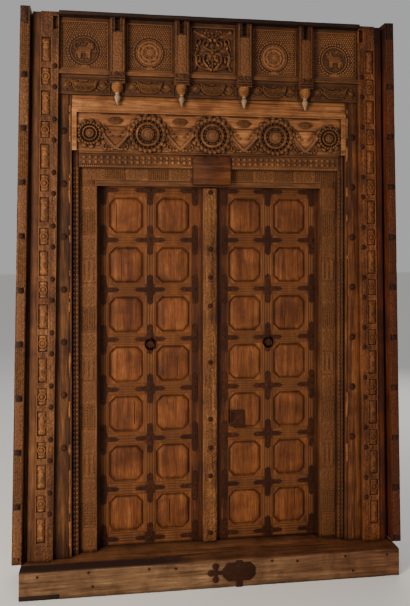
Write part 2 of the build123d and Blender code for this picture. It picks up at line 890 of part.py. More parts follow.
def rail_heights():
    """Middles of a leaf's rails, from the bottom up."""
    return [leaf_bottom + rail_width / 2 + i * row_pitch for i in range(row_count + 1)]


def tongue_plane():
    """Front and back setback of the groove that runs in the middle of the leaf's thickness."""
    front = leaf_setback + (leaf_thickness - groove_width) / 2
    return front, front + groove_width


def make_hinge_stile():
    """Hinge stile with a rounded heel, a groove for rails and panels, and a pin at each end."""
    inner = hinge_stile_edge
    front = depth_y(leaf_setback)
    plan = Pos((inner + pivot_x) / 2, front + heel_radius) * Rectangle(hinge_stile_width, leaf_thickness)
    plan += Pos(pivot_x, front + heel_radius) * Circle(heel_radius)
    body = extrude(Plane.XY.offset(leaf_bottom) * plan, amount=leaf_top - leaf_bottom, dir=(0, 0, 1))
    groove_front, groove_back = tongue_plane()
    low = leaf_bottom - cut_overrun
    high = leaf_top + cut_overrun
    body -= block(inner - cut_overrun, inner + groove_depth, low, high, groove_front, groove_back)
    y = depth_y(pivot_setback)
    lower = Cylinder(pin_radius, pin_length, align=(Align.CENTER, Align.CENTER, Align.MAX))
    upper = Cylinder(pin_radius, pin_length, align=(Align.CENTER, Align.CENTER, Align.MIN))
    body += Pos(pivot_x, y, leaf_bottom) * lower
    body += Pos(pivot_x, y, leaf_top) * upper
    return body


def make_meeting_stile(edge):
    """Meeting stile from the leaf's free edge to its panels."""
    body = block(edge, meeting_stile_edge, leaf_bottom, leaf_top, leaf_setback, leaf_back)
    groove_front, groove_back = tongue_plane()
    return body - block(meeting_stile_edge - groove_depth, meeting_stile_edge + cut_overrun,
                        leaf_bottom - cut_overrun, leaf_top + cut_overrun, groove_front, groove_back)


def make_rails():
    """Rails with stub tenons in the stiles' grooves, and grooves for the panels."""
    groove_front, groove_back = tongue_plane()
    heights = rail_heights()
    rails = []
    for z in heights:
        rail = block(meeting_stile_edge, hinge_stile_edge, z - rail_width / 2, z + rail_width / 2,
                     leaf_setback, leaf_back)
        rail += block(meeting_stile_edge - groove_depth, hinge_stile_edge + groove_depth,
                      z - rail_width / 2, z + rail_width / 2, groove_front, groove_back)
        if z > heights[0]:
            rail -= block(meeting_stile_edge - groove_depth, hinge_stile_edge + groove_depth,
                          z - rail_width, z - rail_width / 2 + groove_depth, groove_front, groove_back)
        if z < heights[-1]:
            rail -= block(meeting_stile_edge - groove_depth, hinge_stile_edge + groove_depth,
                          z + rail_width / 2 - groove_depth, z + rail_width, groove_front, groove_back)
        rails.append(rail)
    return Compound(rails)


def make_muntins():
    """Upright bars between the rails, with stub tenons above and below."""
    groove_front, groove_back = tongue_plane()
    left = muntin_x - muntin_width / 2
    right = muntin_x + muntin_width / 2
    muntins = []
    for z in rail_heights()[:-1]:
        low = z + rail_width / 2
        high = low + row_height
        bar = block(left, right, low, high, leaf_setback, leaf_back)
        bar += block(left + groove_depth, right - groove_depth, low - groove_depth, high + groove_depth,
                     groove_front, groove_back)
        bar -= block(left - cut_overrun, left + groove_depth, low, high, groove_front, groove_back)
        bar -= block(right - groove_depth, right + cut_overrun, low, high, groove_front, groove_back)
        muntins.append(bar)
    return Compound(muntins)


def make_panel(x, z):
    """Fielded panel, thinner than the leaf: a tongue all round, clipped corners and a raised field."""
    groove_front, groove_back = tongue_plane()
    reach = 2 * (groove_depth - tongue_clearance)
    board_front = leaf_setback + corner_sink
    floor = leaf_setback + field_sink
    body = plate(rectangle(x, z, column_width, row_height), board_front, groove_back)
    body += plate(rectangle(x, z, column_width + reach, row_height + reach), groove_front, groove_back)
    sunk = clipped(x, z, column_width, row_height, corner_clip)
    body -= plate(sunk, leaf_setback - cut_overrun, floor)
    loops = [at_setback(sunk, floor)]
    for run, setback in ((field_shoulder_run, leaf_setback), (field_slope_run, leaf_setback - field_proud)):
        clip = corner_clip - run * (2 - math.sqrt(2))
        outline = clipped(x, z, column_width - 2 * run, row_height - 2 * run, clip)
        loops.append(at_setback(outline, setback))
    return body + skin(loops)


def make_panels():
    offset = (column_width + muntin_width) / 2
    panels = []
    for z in rail_heights()[:-1]:
        middle = z + row_pitch / 2
        panels.append(make_panel(muntin_x - offset, middle))
        panels.append(make_panel(muntin_x + offset, middle))
    return Compound(panels)


def strap_plate(x, z, arms):
    """Iron strap with arms at the given angles and lengths about a crossing."""
    front = leaf_setback - strap_thickness
    half = strap_width / 2
    body = plate(rectangle(x, z, strap_width, strap_width), front, leaf_setback)
    for angle, length in arms:
        outline = [(0, -half), (length, -half), (length, half), (0, half)]
        body += plate(turned_points(outline, x, z, angle), front, leaf_setback)
    return body


def make_straps():
    """Crosses on the muntins and tees on both stiles, one set for every rail."""
    heights = rail_heights()
    hinge_x = pivot_x - strap_hinge_inset
    meeting_x = meeting_stile_edge - strap_meeting_inset
    end = rail_width / 2
    straps = []
    for z in heights:
        down = strap_arm if z > heights[0] else end
        up = strap_arm if z < heights[-1] else end - leaf_top_lap - leaf_floor_gap
        upright_arms = [(90, up), (270, down)]
        straps.append(strap_plate(muntin_x, z, upright_arms + [(0, strap_arm), (180, strap_arm)]))
        straps.append(strap_plate(hinge_x, z, upright_arms + [(180, strap_arm)]))
        straps.append(strap_plate(meeting_x, z, upright_arms + [(0, strap_arm)]))
    return Compound(straps)


def ring_height():
    """Height of the rail that carries the ring pull."""
    return rail_heights()[ring_rail_index]


def eye_setback():
    """Setback of the ring eye's centre, in front of its strap."""
    return leaf_setback - strap_thickness - eye_stand


def make_ring_eye():
    """Iron eye that stands out of the strap and carries the ring."""
    z = ring_height()
    centre = Vector(muntin_x, depth_y(eye_setback()), z)
    loop = wire_ring(centre, Vector(0, 1, 0), Vector(0, 0, 1), eye_radius, eye_wire_radius,
                     eye_stations, wire_sides)
    reach = eye_radius + 2 * eye_wire_radius
    face = leaf_setback - strap_thickness
    return loop & block(muntin_x - reach, muntin_x + reach, z - reach, z + reach, -cut_overrun, face)


def ring_pivot_height():
    """Height of the line that the ring hangs and swings about."""
    flats = (eye_wire_radius + ring_wire_radius) * math.cos(math.pi / wire_sides)
    return ring_height() - (eye_radius - flats - ring_seat_gap)


def make_ring():
    """Round ring that hangs in its eye, flat against the leaf."""
    centre = Vector(muntin_x, depth_y(eye_setback()), ring_pivot_height() - ring_radius)
    return wire_ring(centre, Vector(0, 0, 1), Vector(1, 0, 0), ring_radius, ring_wire_radius,
                     ring_stations, wire_sides)


def make_astragal():
    """Cover strip over the meeting line, with chamfered edges."""
    half = astragal_width / 2
    front = leaf_setback - astragal_thickness
    section = [(-half, leaf_setback), (-half, front + astragal_chamfer), (-half + astragal_chamfer, front),
               (half - astragal_chamfer, front), (half, front + astragal_chamfer), (half, leaf_setback)]
    return upright(section, leaf_bottom, lintel_z - astragal_top_gap)


def make_astragal_studs():
    """Forged nails down the middle of the cover strip."""
    low = leaf_bottom + astragal_stud_margin
    high = lintel_z - astragal_top_gap - astragal_stud_margin / 2
    step = (high - low) / (astragal_stud_count - 1)
    heights = [low + i * step for i in range(astragal_stud_count)]
    heights += [low + extra_stud_share * step, high - extra_stud_share * step]
    face = leaf_setback - astragal_thickness
    return Compound([stud(0, z, post_stud_radius, face) for z in heights])


def make_lock_plate():
    """Square iron plate with a raised rim, on the field of a panel beside the meeting line."""
    x = meeting_stile_edge + lock_plate_inset + lock_plate_width / 2
    z = rail_heights()[lock_rail_index] + rail_width / 2 + lock_plate_lift + lock_plate_height / 2
    back = leaf_setback - field_proud
    front = back - lock_plate_thickness
    body = plate(rectangle(x, z, lock_plate_width, lock_plate_height), front, back)
    inner_width = lock_plate_width - 2 * lock_rim_width
    inner_height = lock_plate_height - 2 * lock_rim_width
    rim = plate(rectangle(x, z, lock_plate_width, lock_plate_height), front - lock_rim_height, front)
    rim -= plate(rectangle(x, z, inner_width, inner_height), front - cut_overrun, front)
    return body + rim


def mirrored(shape):
    """The same piece on the left-hand side."""
    return mirror(shape, about=Plane.YZ)


def frame_pieces():
    pieces = {
        "sill": make_sill(),
        "sill_hasp_plate": make_sill_hasp_plate(),
        "inner_lintel": make_inner_lintel(),
        "lintel_centre_block": make_lintel_centre_block(),
        "bead_head": make_bead_head(),
        "frieze_panel": make_frieze_panel(),
        "plain_head_rail": make_plain_head_rail(),
        "crown_beam": make_crown_beam(),
        "crown_cap": make_crown_cap(),
        "frame_studs": make_frame_studs(),
    }
    uprights = {
        "outer_post": make_outer_post(),
        "cove_strip": make_cove_strip(),
        "carved_pilaster": make_carved_pilaster(),
        "plain_post": make_plain_post(),
        "bead_strip": make_bead_strip(),
        "inner_jamb": make_inner_jamb(),
    }
    for name, shape in uprights.items():
        pieces[name + "_right"] = shape
        pieces[name + "_left"] = mirrored(shape)
    for bay in range(bracket_count + 1):
        pieces[f"medallion_panel_{bay + 1}"] = make_medallion_panel(bay)
        pieces[f"relief_panel_{bay + 1}"] = make_relief_panel(bay)
    for i, x in enumerate(bracket_places()):
        pieces[f"bracket_{i + 1}"] = make_bracket(x)
        pieces[f"pendant_drop_{i + 1}"] = make_pendant_drop(x)
    return pieces


def leaf_pieces():
    shared = {
        "hinge_stile": make_hinge_stile(),
        "rails": make_rails(),
        "muntins": make_muntins(),
        "panels": make_panels(),
        "straps": make_straps(),
        "ring_eye": make_ring_eye(),
        "ring": make_ring(),
    }
    pieces = {}
    for name, shape in shared.items():
        pieces["right_" + name] = shape
        pieces["left_" + name] = mirrored(shape)
    pieces["right_meeting_stile"] = make_meeting_stile(right_meeting_edge)
    pieces["left_meeting_stile"] = mirrored(make_meeting_stile(left_meeting_edge))
    pieces["left_astragal"] = make_astragal()
    pieces["left_astragal_studs"] = make_astragal_studs()
    pieces["right_lock_plate"] = make_lock_plate()
    return pieces


def main():
    os.makedirs("parts", exist_ok=True)
    pieces = frame_pieces()
    pieces.update(leaf_pieces())
    for name, shape in pieces.items():
        export_step(shape, f"parts/{name}.step")


main()
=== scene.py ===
"""Looks of a carved double door in its stepped wooden frame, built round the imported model.

Metres; the front faces -Y.
"""

import json
import math

import bmesh
import bpy
from mathutils import Matrix, Vector, noise

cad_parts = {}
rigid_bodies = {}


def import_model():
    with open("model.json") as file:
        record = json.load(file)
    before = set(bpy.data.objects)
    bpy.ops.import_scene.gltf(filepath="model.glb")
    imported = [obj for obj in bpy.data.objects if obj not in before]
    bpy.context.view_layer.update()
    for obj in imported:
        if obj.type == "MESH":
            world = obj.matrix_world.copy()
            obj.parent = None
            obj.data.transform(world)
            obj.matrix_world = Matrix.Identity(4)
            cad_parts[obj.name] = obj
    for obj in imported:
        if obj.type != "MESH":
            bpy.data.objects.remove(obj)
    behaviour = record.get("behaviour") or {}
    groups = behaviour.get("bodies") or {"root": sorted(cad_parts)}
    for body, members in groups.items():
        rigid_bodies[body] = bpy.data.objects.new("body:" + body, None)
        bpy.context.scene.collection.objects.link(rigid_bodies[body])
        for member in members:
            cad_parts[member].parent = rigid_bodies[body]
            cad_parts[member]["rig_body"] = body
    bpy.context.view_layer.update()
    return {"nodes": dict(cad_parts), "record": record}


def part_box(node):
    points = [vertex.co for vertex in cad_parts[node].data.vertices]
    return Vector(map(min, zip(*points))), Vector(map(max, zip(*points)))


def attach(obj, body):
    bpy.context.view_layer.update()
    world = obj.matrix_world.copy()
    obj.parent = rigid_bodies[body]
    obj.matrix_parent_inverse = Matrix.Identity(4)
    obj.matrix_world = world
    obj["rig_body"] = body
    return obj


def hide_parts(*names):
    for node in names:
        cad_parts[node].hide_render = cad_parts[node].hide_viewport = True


# Camera: the photographer's place, the turn to the right, and the focal length in pixels of a 410 by 606
# image
EYE = Vector((-0.501, -3.387, 1.6725))
EYE_TURN = math.radians(7.885)
IMAGE_LONG_SIDE = 606
FOCAL_PIXELS = 660
HORIZON_PIXELS_ABOVE_MIDDLE = 54.84
SENSOR = 0.036

# Dark of dirt in the wood's cracks, also used for the painted shade in hollows and gouge marks; and how much
# paler than its lightest streaks a wood is on edges that stand out, partly rubbed and partly a painted
# highlight
GRIME_AND_SHADE = (0.012, 0.005, 0.002)
EDGE_PALE_GAIN = 1.25

# Painted shade on the right-hand side, away from the key light, darker and redder; and from where to where
# each such painted light or shade grows
RIGHT_SIDE_SHADE = (0.62, 0.36, 0.2)
SIDE_LIGHT_X = (0.1, 0.85)

# Tints of stains and of the darkening towards the top, the share of a full stain, and the heights between
# which the darkening grows
STAIN_TINT = (0.36, 0.29, 0.25)
STAIN_SHARE = 0.85
TOP_DARK_TINT = (0.28, 0.24, 0.22)
TOP_DARK_Z = (2.5, 2.85)

# Gouge marks, which are darkened with painted shade: cells to a metre, the part of a cell that is cut, depth,
# and how far a face may turn from the front
GOUGE_SCALE = 82.0
GOUGE_EDGE = (0.34, 0.66)
GOUGE_DEPTH = 1.6
GOUGE_FACING = (-0.8, -0.4)

# Depth of the grain, reach of the pale edges (partly rubbed, partly a painted highlight), and how rough the
# wood's fibres are
GRAIN_RELIEF = 0.0016
EDGE_PALE_REACH = 0.006
WOOD_ROUGHNESS = (0.55, 0.78)

# Sill: the trodden top, the tar along its front edge, and where the tar ends
TRODDEN_TINT = (0.84, 0.63, 0.53)
TAR = (0.024, 0.0105, 0.008)
TAR_EDGE_Y = (-0.1, -0.088)
TAR_END_X = (-0.12, 0.06)

# Frieze: the tint of its raised carving, and where its carving and the foot of its ground begin and end
FRIEZE_DARK_TINT = (0.42, 0.4, 0.42)
FRIEZE_RAISED_Y = (-0.043, -0.0395)
FRIEZE_RAISED_Z = (2.31, 2.34)
FRIEZE_FOOT_Z = (2.17, 2.235)
FRIEZE_INSIDE_X = (0.675, 0.685)

# Wood grain runs along one axis: the mapping squeezes the pattern along it
UPRIGHT_GRAIN = (1.0, 1.0, 0.05)
LEVEL_GRAIN = (0.05, 1.0, 1.0)

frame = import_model()
NODES = frame["nodes"]
SLOTS = {item["node"]: item["material_slot"] for item in frame["record"]["subparts"]}


def body_of(node):
    """Name of the body that a node rides on."""
    return NODES[node]["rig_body"]


# Shader helpers

def add_node(tree, kind, **values):
    """New shader node with its properties set."""
    item = tree.nodes.new(kind)
    for key, value in values.items():
        setattr(item, key, value)
    return item


def link(tree, source, target):
    """Joins two sockets."""
    tree.links.new(source, target)


def set_inputs(item, **values):
    """Sets a node's inputs by name, with underscores for spaces."""
    for key, value in values.items():
        item.inputs[key.replace("_", " ")].default_value = value
    return item


def math_node(tree, operation, first, second):
    """Math node on two sockets or numbers."""
    item = add_node(tree, "ShaderNodeMath", operation=operation)
    for slot, value in zip(item.inputs, (first, second)):
        if isinstance(value, (int, float)):
            slot.default_value = value
        else:
            link(tree, value, slot)
    return item.outputs[0]


def mix_colour(tree, factor, first, second, blend="MIX"):
    """Mix of two colours, each a socket or a tuple."""
    item = add_node(tree, "ShaderNodeMix", data_type="RGBA", blend_type=blend)
    for slot, value in ((item.inputs[0], factor), (item.inputs[6], first), (item.inputs[7], second)):
        if isinstance(value, (int, float)):
            slot.default_value = value
        elif isinstance(value, tuple):
            slot.default_value = (*value, 1.0)
        else:
            link(tree, value, slot)
    return item.outputs[2]


def ramp(tree, source, stops):
    """Colour ramp of (place, colour) stops."""
    item = add_node(tree, "ShaderNodeValToRGB")
    bar = item.color_ramp
    while len(bar.elements) < len(stops):
        bar.elements.new(0.5)
    for element, (place, colour) in zip(bar.elements, stops):
        element.position = place
        element.color = (*colour, 1.0)
    link(tree, source, item.inputs[0])
    return item.outputs[0]


def remap(tree, source, low, high, to_low=0.0, to_high=1.0):
    """Value moved from one range to another, clamped."""
    item = add_node(tree, "ShaderNodeMapRange")
    set_inputs(item, From_Min=low, From_Max=high, To_Min=to_low, To_Max=to_high)
    link(tree, source, item.inputs["Value"])
    return item.outputs[0]


def texture_noise(tree, vector, scale, detail=4.0, roughness=0.55, distortion=0.0):
    """Value of a noise texture."""
    item = add_node(tree, "ShaderNodeTexNoise")
    set_inputs(item, Scale=scale, Detail=detail, Roughness=roughness, Distortion=distortion)
    link(tree, vector, item.inputs["Vector"])
    return item.outputs[0]


def new_group(name, inputs, outputs):
    """Empty node group with value or vector sockets; returns the group, its input node and its output
    node."""
    tree = bpy.data.node_groups.new(name, "ShaderNodeTree")
    for title, kind, value in inputs:
        socket = tree.interface.new_socket(title, in_out="INPUT", socket_type=kind)
        if value is not None:
            socket.default_value = value
    for title, kind in outputs:
        tree.interface.new_socket(title, in_out="OUTPUT", socket_type=kind)
    return tree, tree.nodes.new("NodeGroupInput"), tree.nodes.new("NodeGroupOutput")


def make_grain_group():
    """Long fibres, broader streaks and open checks of old wood, for a vector squeezed along the grain."""
    tree, start, end = new_group(
        "old_wood_grain",
        [("Vector", "NodeSocketVector", None), ("Fineness", "NodeSocketFloat", 1.0)],
        [("Fibre", "NodeSocketFloat"), ("Streak", "NodeSocketFloat"), ("Check", "NodeSocketFloat")],
    )
    scaled = add_node(tree, "ShaderNodeVectorMath", operation="SCALE")
    link(tree, start.outputs["Vector"], scaled.inputs[0])
    link(tree, start.outputs["Fineness"], scaled.inputs["Scale"])
    vector = scaled.outputs[0]
    fibre = texture_noise(tree, vector, 190.0, 5.0, 0.65)
    streak = texture_noise(tree, vector, 32.0, 5.0, 0.6, 0.6)
    crack = texture_noise(tree, vector, 46.0, 2.0, 0.4)
    check = remap(tree, math_node(tree, "ABSOLUTE", math_node(tree, "SUBTRACT", crack, 0.5), 0.0), 0.0,
                  0.012, 1.0, 0.0)
    gate = remap(tree, texture_noise(tree, start.outputs["Vector"], 9.0, 2.0), 0.56, 0.66)
    link(tree, fibre, end.inputs["Fibre"])
    link(tree, streak, end.inputs["Streak"])
    link(tree, math_node(tree, "MULTIPLY", check, gate), end.inputs["Check"])
    return tree


def make_age_group():
    """Blotches of grime and wear at hand size, and fine pits."""
    tree, start, end = new_group(
        "age_marks",
        [("Vector", "NodeSocketVector", None)],
        [("Blotch", "NodeSocketFloat"), ("Pits", "NodeSocketFloat")],
    )
    blotch = remap(tree, texture_noise(tree, start.outputs["Vector"], 6.5, 6.0, 0.6, 0.4), 0.36, 0.66)
    pits = remap(tree, texture_noise(tree, start.outputs["Vector"], 150.0, 3.0, 0.7), 0.35, 0.6)
    link(tree, blotch, end.inputs["Blotch"])
    link(tree, pits, end.inputs["Pits"])
    return tree


GRAIN_GROUP = make_grain_group()
AGE_GROUP = make_age_group()


def place_group(tree, group, vector, **values):
    """Node group in a material, fed with a vector."""
    item = add_node(tree, "ShaderNodeGroup")
    item.node_tree = group
    link(tree, vector, item.inputs["Vector"])
    return set_inputs(item, **values)


def start_material(name):
    """Material with its tree, Principled shader and Object coordinates."""
    material = bpy.data.materials.new(name)
    material.use_nodes = True
    tree = material.node_tree
    shader = tree.nodes["Principled BSDF"]
    shader.inputs["Specular IOR Level"].default_value = 0.18
    coords = add_node(tree, "ShaderNodeTexCoord").outputs["Object"]
    return material, tree, shader, coords


def cavity(tree, reach):
    """1 in hollows and 0 on open faces."""
    item = add_node(tree, "ShaderNodeAmbientOcclusion", samples=8)
    set_inputs(item, Distance=reach)
    return remap(tree, item.outputs["AO"], 0.45, 0.95, 1.0, 0.0)


def rubbed_edges(tree, reach):
    """1 on edges and knobs that stand out, where hands and cloths rub and where a highlight is painted, and 0
    on flat faces.
    """
    item = add_node(tree, "ShaderNodeAmbientOcclusion", samples=8, inside=True)
    set_inputs(item, Distance=reach)
    return remap(tree, item.outputs["AO"], 0.4, 0.9, 1.0, 0.0)


def make_wood(name, tones, grain, fineness=1.0, hollow=0.7, hollow_reach=0.035, stipple=0.0,
              spread=0.13, edge_pale=0.35, side_light_tint=None, top_dark=0.0):
    """Old wood: streaks between three tones, dark checks, painted shade in hollows, pale edges that are
    partly rubbed and partly a painted highlight, gouge marks darkened with painted shade where it is
    stippled, a painted tint of light and shade that grows towards the right, and a darkening towards the top."""
    dark, middle, light = tones
    material, tree, shader, coords = start_material(name)
    mapping = add_node(tree, "ShaderNodeMapping")
    mapping.inputs["Scale"].default_value = grain
    link(tree, coords, mapping.inputs["Vector"])
    wood = place_group(tree, GRAIN_GROUP, mapping.outputs[0], Fineness=fineness)
    age = place_group(tree, AGE_GROUP, coords)
    tone = math_node(tree, "ADD", math_node(tree, "MULTIPLY", wood.outputs["Streak"], 0.5),
                     math_node(tree, "MULTIPLY", wood.outputs["Fibre"], 0.5))
    colour = ramp(tree, tone, [(0.5 - spread, dark), (0.5, middle), (0.5 + spread, light)])
    stained = mix_colour(tree, 1.0, colour, STAIN_TINT, "MULTIPLY")
    colour = mix_colour(tree, math_node(tree, "MULTIPLY", age.outputs["Blotch"], STAIN_SHARE), colour,
                        stained)
    place = add_node(tree, "ShaderNodeSeparateXYZ")
    link(tree, coords, place.inputs[0])
    # Darker towards the top
    if top_dark > 0:
        upward = remap(tree, place.outputs["Z"], *TOP_DARK_Z, 0.0, top_dark)
        colour = mix_colour(tree, upward, colour, mix_colour(tree, 1.0, colour, TOP_DARK_TINT, "MULTIPLY"))
    colour = mix_colour(tree, wood.outputs["Check"], colour, GRIME_AND_SHADE)
    if stipple > 0:
        gouge = add_node(tree, "ShaderNodeTexVoronoi")
        set_inputs(gouge, Scale=GOUGE_SCALE, Randomness=0.9)
        link(tree, coords, gouge.inputs["Vector"])
        turn = add_node(tree, "ShaderNodeSeparateXYZ")
        link(tree, add_node(tree, "ShaderNodeTexCoord").outputs["Normal"], turn.inputs[0])
        facing = remap(tree, turn.outputs["Y"], *GOUGE_FACING, 1.0, 0.0)
        marks = math_node(tree, "MULTIPLY", remap(tree, gouge.outputs["Distance"], *GOUGE_EDGE), facing)
        # Painted shade: the gouge marks are darkened
        colour = mix_colour(tree, math_node(tree, "MULTIPLY", marks, stipple), colour, GRIME_AND_SHADE)
    # Pale edges: partly real rubbing, partly a painted highlight
    pale = tuple(min(1.0, EDGE_PALE_GAIN * value) for value in light)
    wear = math_node(tree, "MULTIPLY", rubbed_edges(tree, EDGE_PALE_REACH), edge_pale)
    colour = mix_colour(tree, wear, colour, pale)
    # Painted light and shade: the colour is tinted lighter, or darker and redder, towards the right
    if side_light_tint is not None:
        rightward = remap(tree, place.outputs["X"], *SIDE_LIGHT_X)
        colour = mix_colour(tree, rightward, colour, mix_colour(tree, 1.0, colour, side_light_tint, "MULTIPLY"))
    # Painted shade: hollows are darkened by ambient occlusion
    hollow_shade = math_node(tree, "MULTIPLY", cavity(tree, hollow_reach), hollow)
    colour = mix_colour(tree, hollow_shade, colour, GRIME_AND_SHADE)
    link(tree, colour, shader.inputs["Base Color"])
    rough = remap(tree, wood.outputs["Fibre"], 0.3, 0.7, *WOOD_ROUGHNESS)
    link(tree, rough, shader.inputs["Roughness"])
    height = math_node(tree, "ADD", math_node(tree, "MULTIPLY", wood.outputs["Fibre"], 0.55),
                       math_node(tree, "MULTIPLY", wood.outputs["Streak"], 0.45))
    height = math_node(tree, "SUBTRACT", height, math_node(tree, "MULTIPLY", wood.outputs["Check"], 0.8))
    height = math_node(tree, "ADD", height, math_node(tree, "MULTIPLY", age.outputs["Pits"], 0.25))
    if stipple > 0:
        height = math_node(tree, "SUBTRACT", height, math_node(tree, "MULTIPLY", marks, GOUGE_DEPTH))
    bump = add_node(tree, "ShaderNodeBump")
    set_inputs(bump, Strength=0.8, Distance=GRAIN_RELIEF)
    link(tree, height, bump.inputs["Height"])
    link(tree, bump.outputs[0], shader.inputs["Normal"])
    return material


def make_sill_wood(tones):
    """Wood of the sill: its top is trodden brown, and tarred dark along the front."""
    # Its tint towards the right is painted shade
    material = make_wood("sill_wood", tones, LEVEL_GRAIN, 0.55, side_light_tint=(0.78, 0.62, 0.54))
    tree = material.node_tree
    shader = tree.nodes["Principled BSDF"]
    colour = shader.inputs["Base Color"].links[0].from_socket
    coords = add_node(tree, "ShaderNodeTexCoord")
    turn = add_node(tree, "ShaderNodeSeparateXYZ")
    link(tree, coords.outputs["Normal"], turn.inputs[0])
    place = add_node(tree, "ShaderNodeSeparateXYZ")
    link(tree, coords.outputs["Object"], place.inputs[0])
    scuffs = texture_noise(tree, coords.outputs["Object"], 14.0, 4.0)
    edge = math_node(tree, "ADD", place.outputs["Y"], math_node(tree, "MULTIPLY", scuffs, 0.03))
    leftward = math_node(tree, "ADD", place.outputs["X"], math_node(tree, "MULTIPLY", scuffs, 0.3))
    tarred = math_node(tree, "MULTIPLY", remap(tree, edge, *TAR_EDGE_Y, 1.0, 0.0),
                       remap(tree, leftward, *TAR_END_X, 1.0, 0.15))
    trodden = mix_colour(tree, 1.0, colour, TRODDEN_TINT, "MULTIPLY")
    top_colour = mix_colour(tree, tarred, trodden, TAR)
    top = remap(tree, turn.outputs["Z"], 0.4, 0.8)
    link(tree, mix_colour(tree, top, colour, top_colour), shader.inputs["Base Color"])
    return material


def make_frieze_wood(tones):
    """Wood of the frieze: inside its border, what stands up from the ground is darker, and so is the
    ground's foot."""
    material = make_wood("frieze_wood", tones, LEVEL_GRAIN, hollow=0.85, hollow_reach=0.03)
    tree = material.node_tree
    shader = tree.nodes["Principled BSDF"]
    colour = shader.inputs["Base Color"].links[0].from_socket
    place = add_node(tree, "ShaderNodeSeparateXYZ")
    link(tree, add_node(tree, "ShaderNodeTexCoord").outputs["Object"], place.inputs[0])
    raised = remap(tree, place.outputs["Y"], *FRIEZE_RAISED_Y, 1.0, 0.0)
    low = remap(tree, place.outputs["Z"], *FRIEZE_RAISED_Z, 1.0, 0.0)
    inside = remap(tree, math_node(tree, "ABSOLUTE", place.outputs["X"], 0.0), *FRIEZE_INSIDE_X, 1.0, 0.0)
    foot = remap(tree, place.outputs["Z"], *FRIEZE_FOOT_Z, 0.75, 0.0)
    carved = math_node(tree, "MAXIMUM", math_node(tree, "MULTIPLY", raised, low), foot)
    carved = math_node(tree, "MULTIPLY", carved, inside)
    dark = mix_colour(tree, 1.0, colour, FRIEZE_DARK_TINT, "MULTIPLY")
    link(tree, mix_colour(tree, carved, colour, dark), shader.inputs["Base Color"])
    return material


# Iron: its tones from pits to rubbed faces, and its blotches
IRON_TONES = ((0.35, (0.02, 0.006, 0.0024)), (0.55, (0.042, 0.0126, 0.0046)), (0.72, (0.09, 0.029, 0.01)))
IRON_BLOTCH = (0.022, 0.0066, 0.003)


def make_iron():
    """Forged iron under old oil: rust-brown, darker in its pits."""
    material, tree, shader, coords = start_material("forged_iron")
    age = place_group(tree, AGE_GROUP, coords)
    scale = texture_noise(tree, coords, 70.0, 5.0, 0.7)
    colour = ramp(tree, scale, IRON_TONES)
    link(tree, mix_colour(tree, age.outputs["Blotch"], colour, IRON_BLOTCH), shader.inputs["Base Color"])
    shader.inputs["Specular IOR Level"].default_value = 0.1
    link(tree, remap(tree, scale, 0.3, 0.7, 0.5, 0.75), shader.inputs["Roughness"])
    bump = add_node(tree, "ShaderNodeBump")
    set_inputs(bump, Strength=0.7, Distance=0.0012)
    link(tree, math_node(tree, "ADD", scale, age.outputs["Pits"]), bump.inputs["Height"])
    link(tree, bump.outputs[0], shader.inputs["Normal"])
    return material


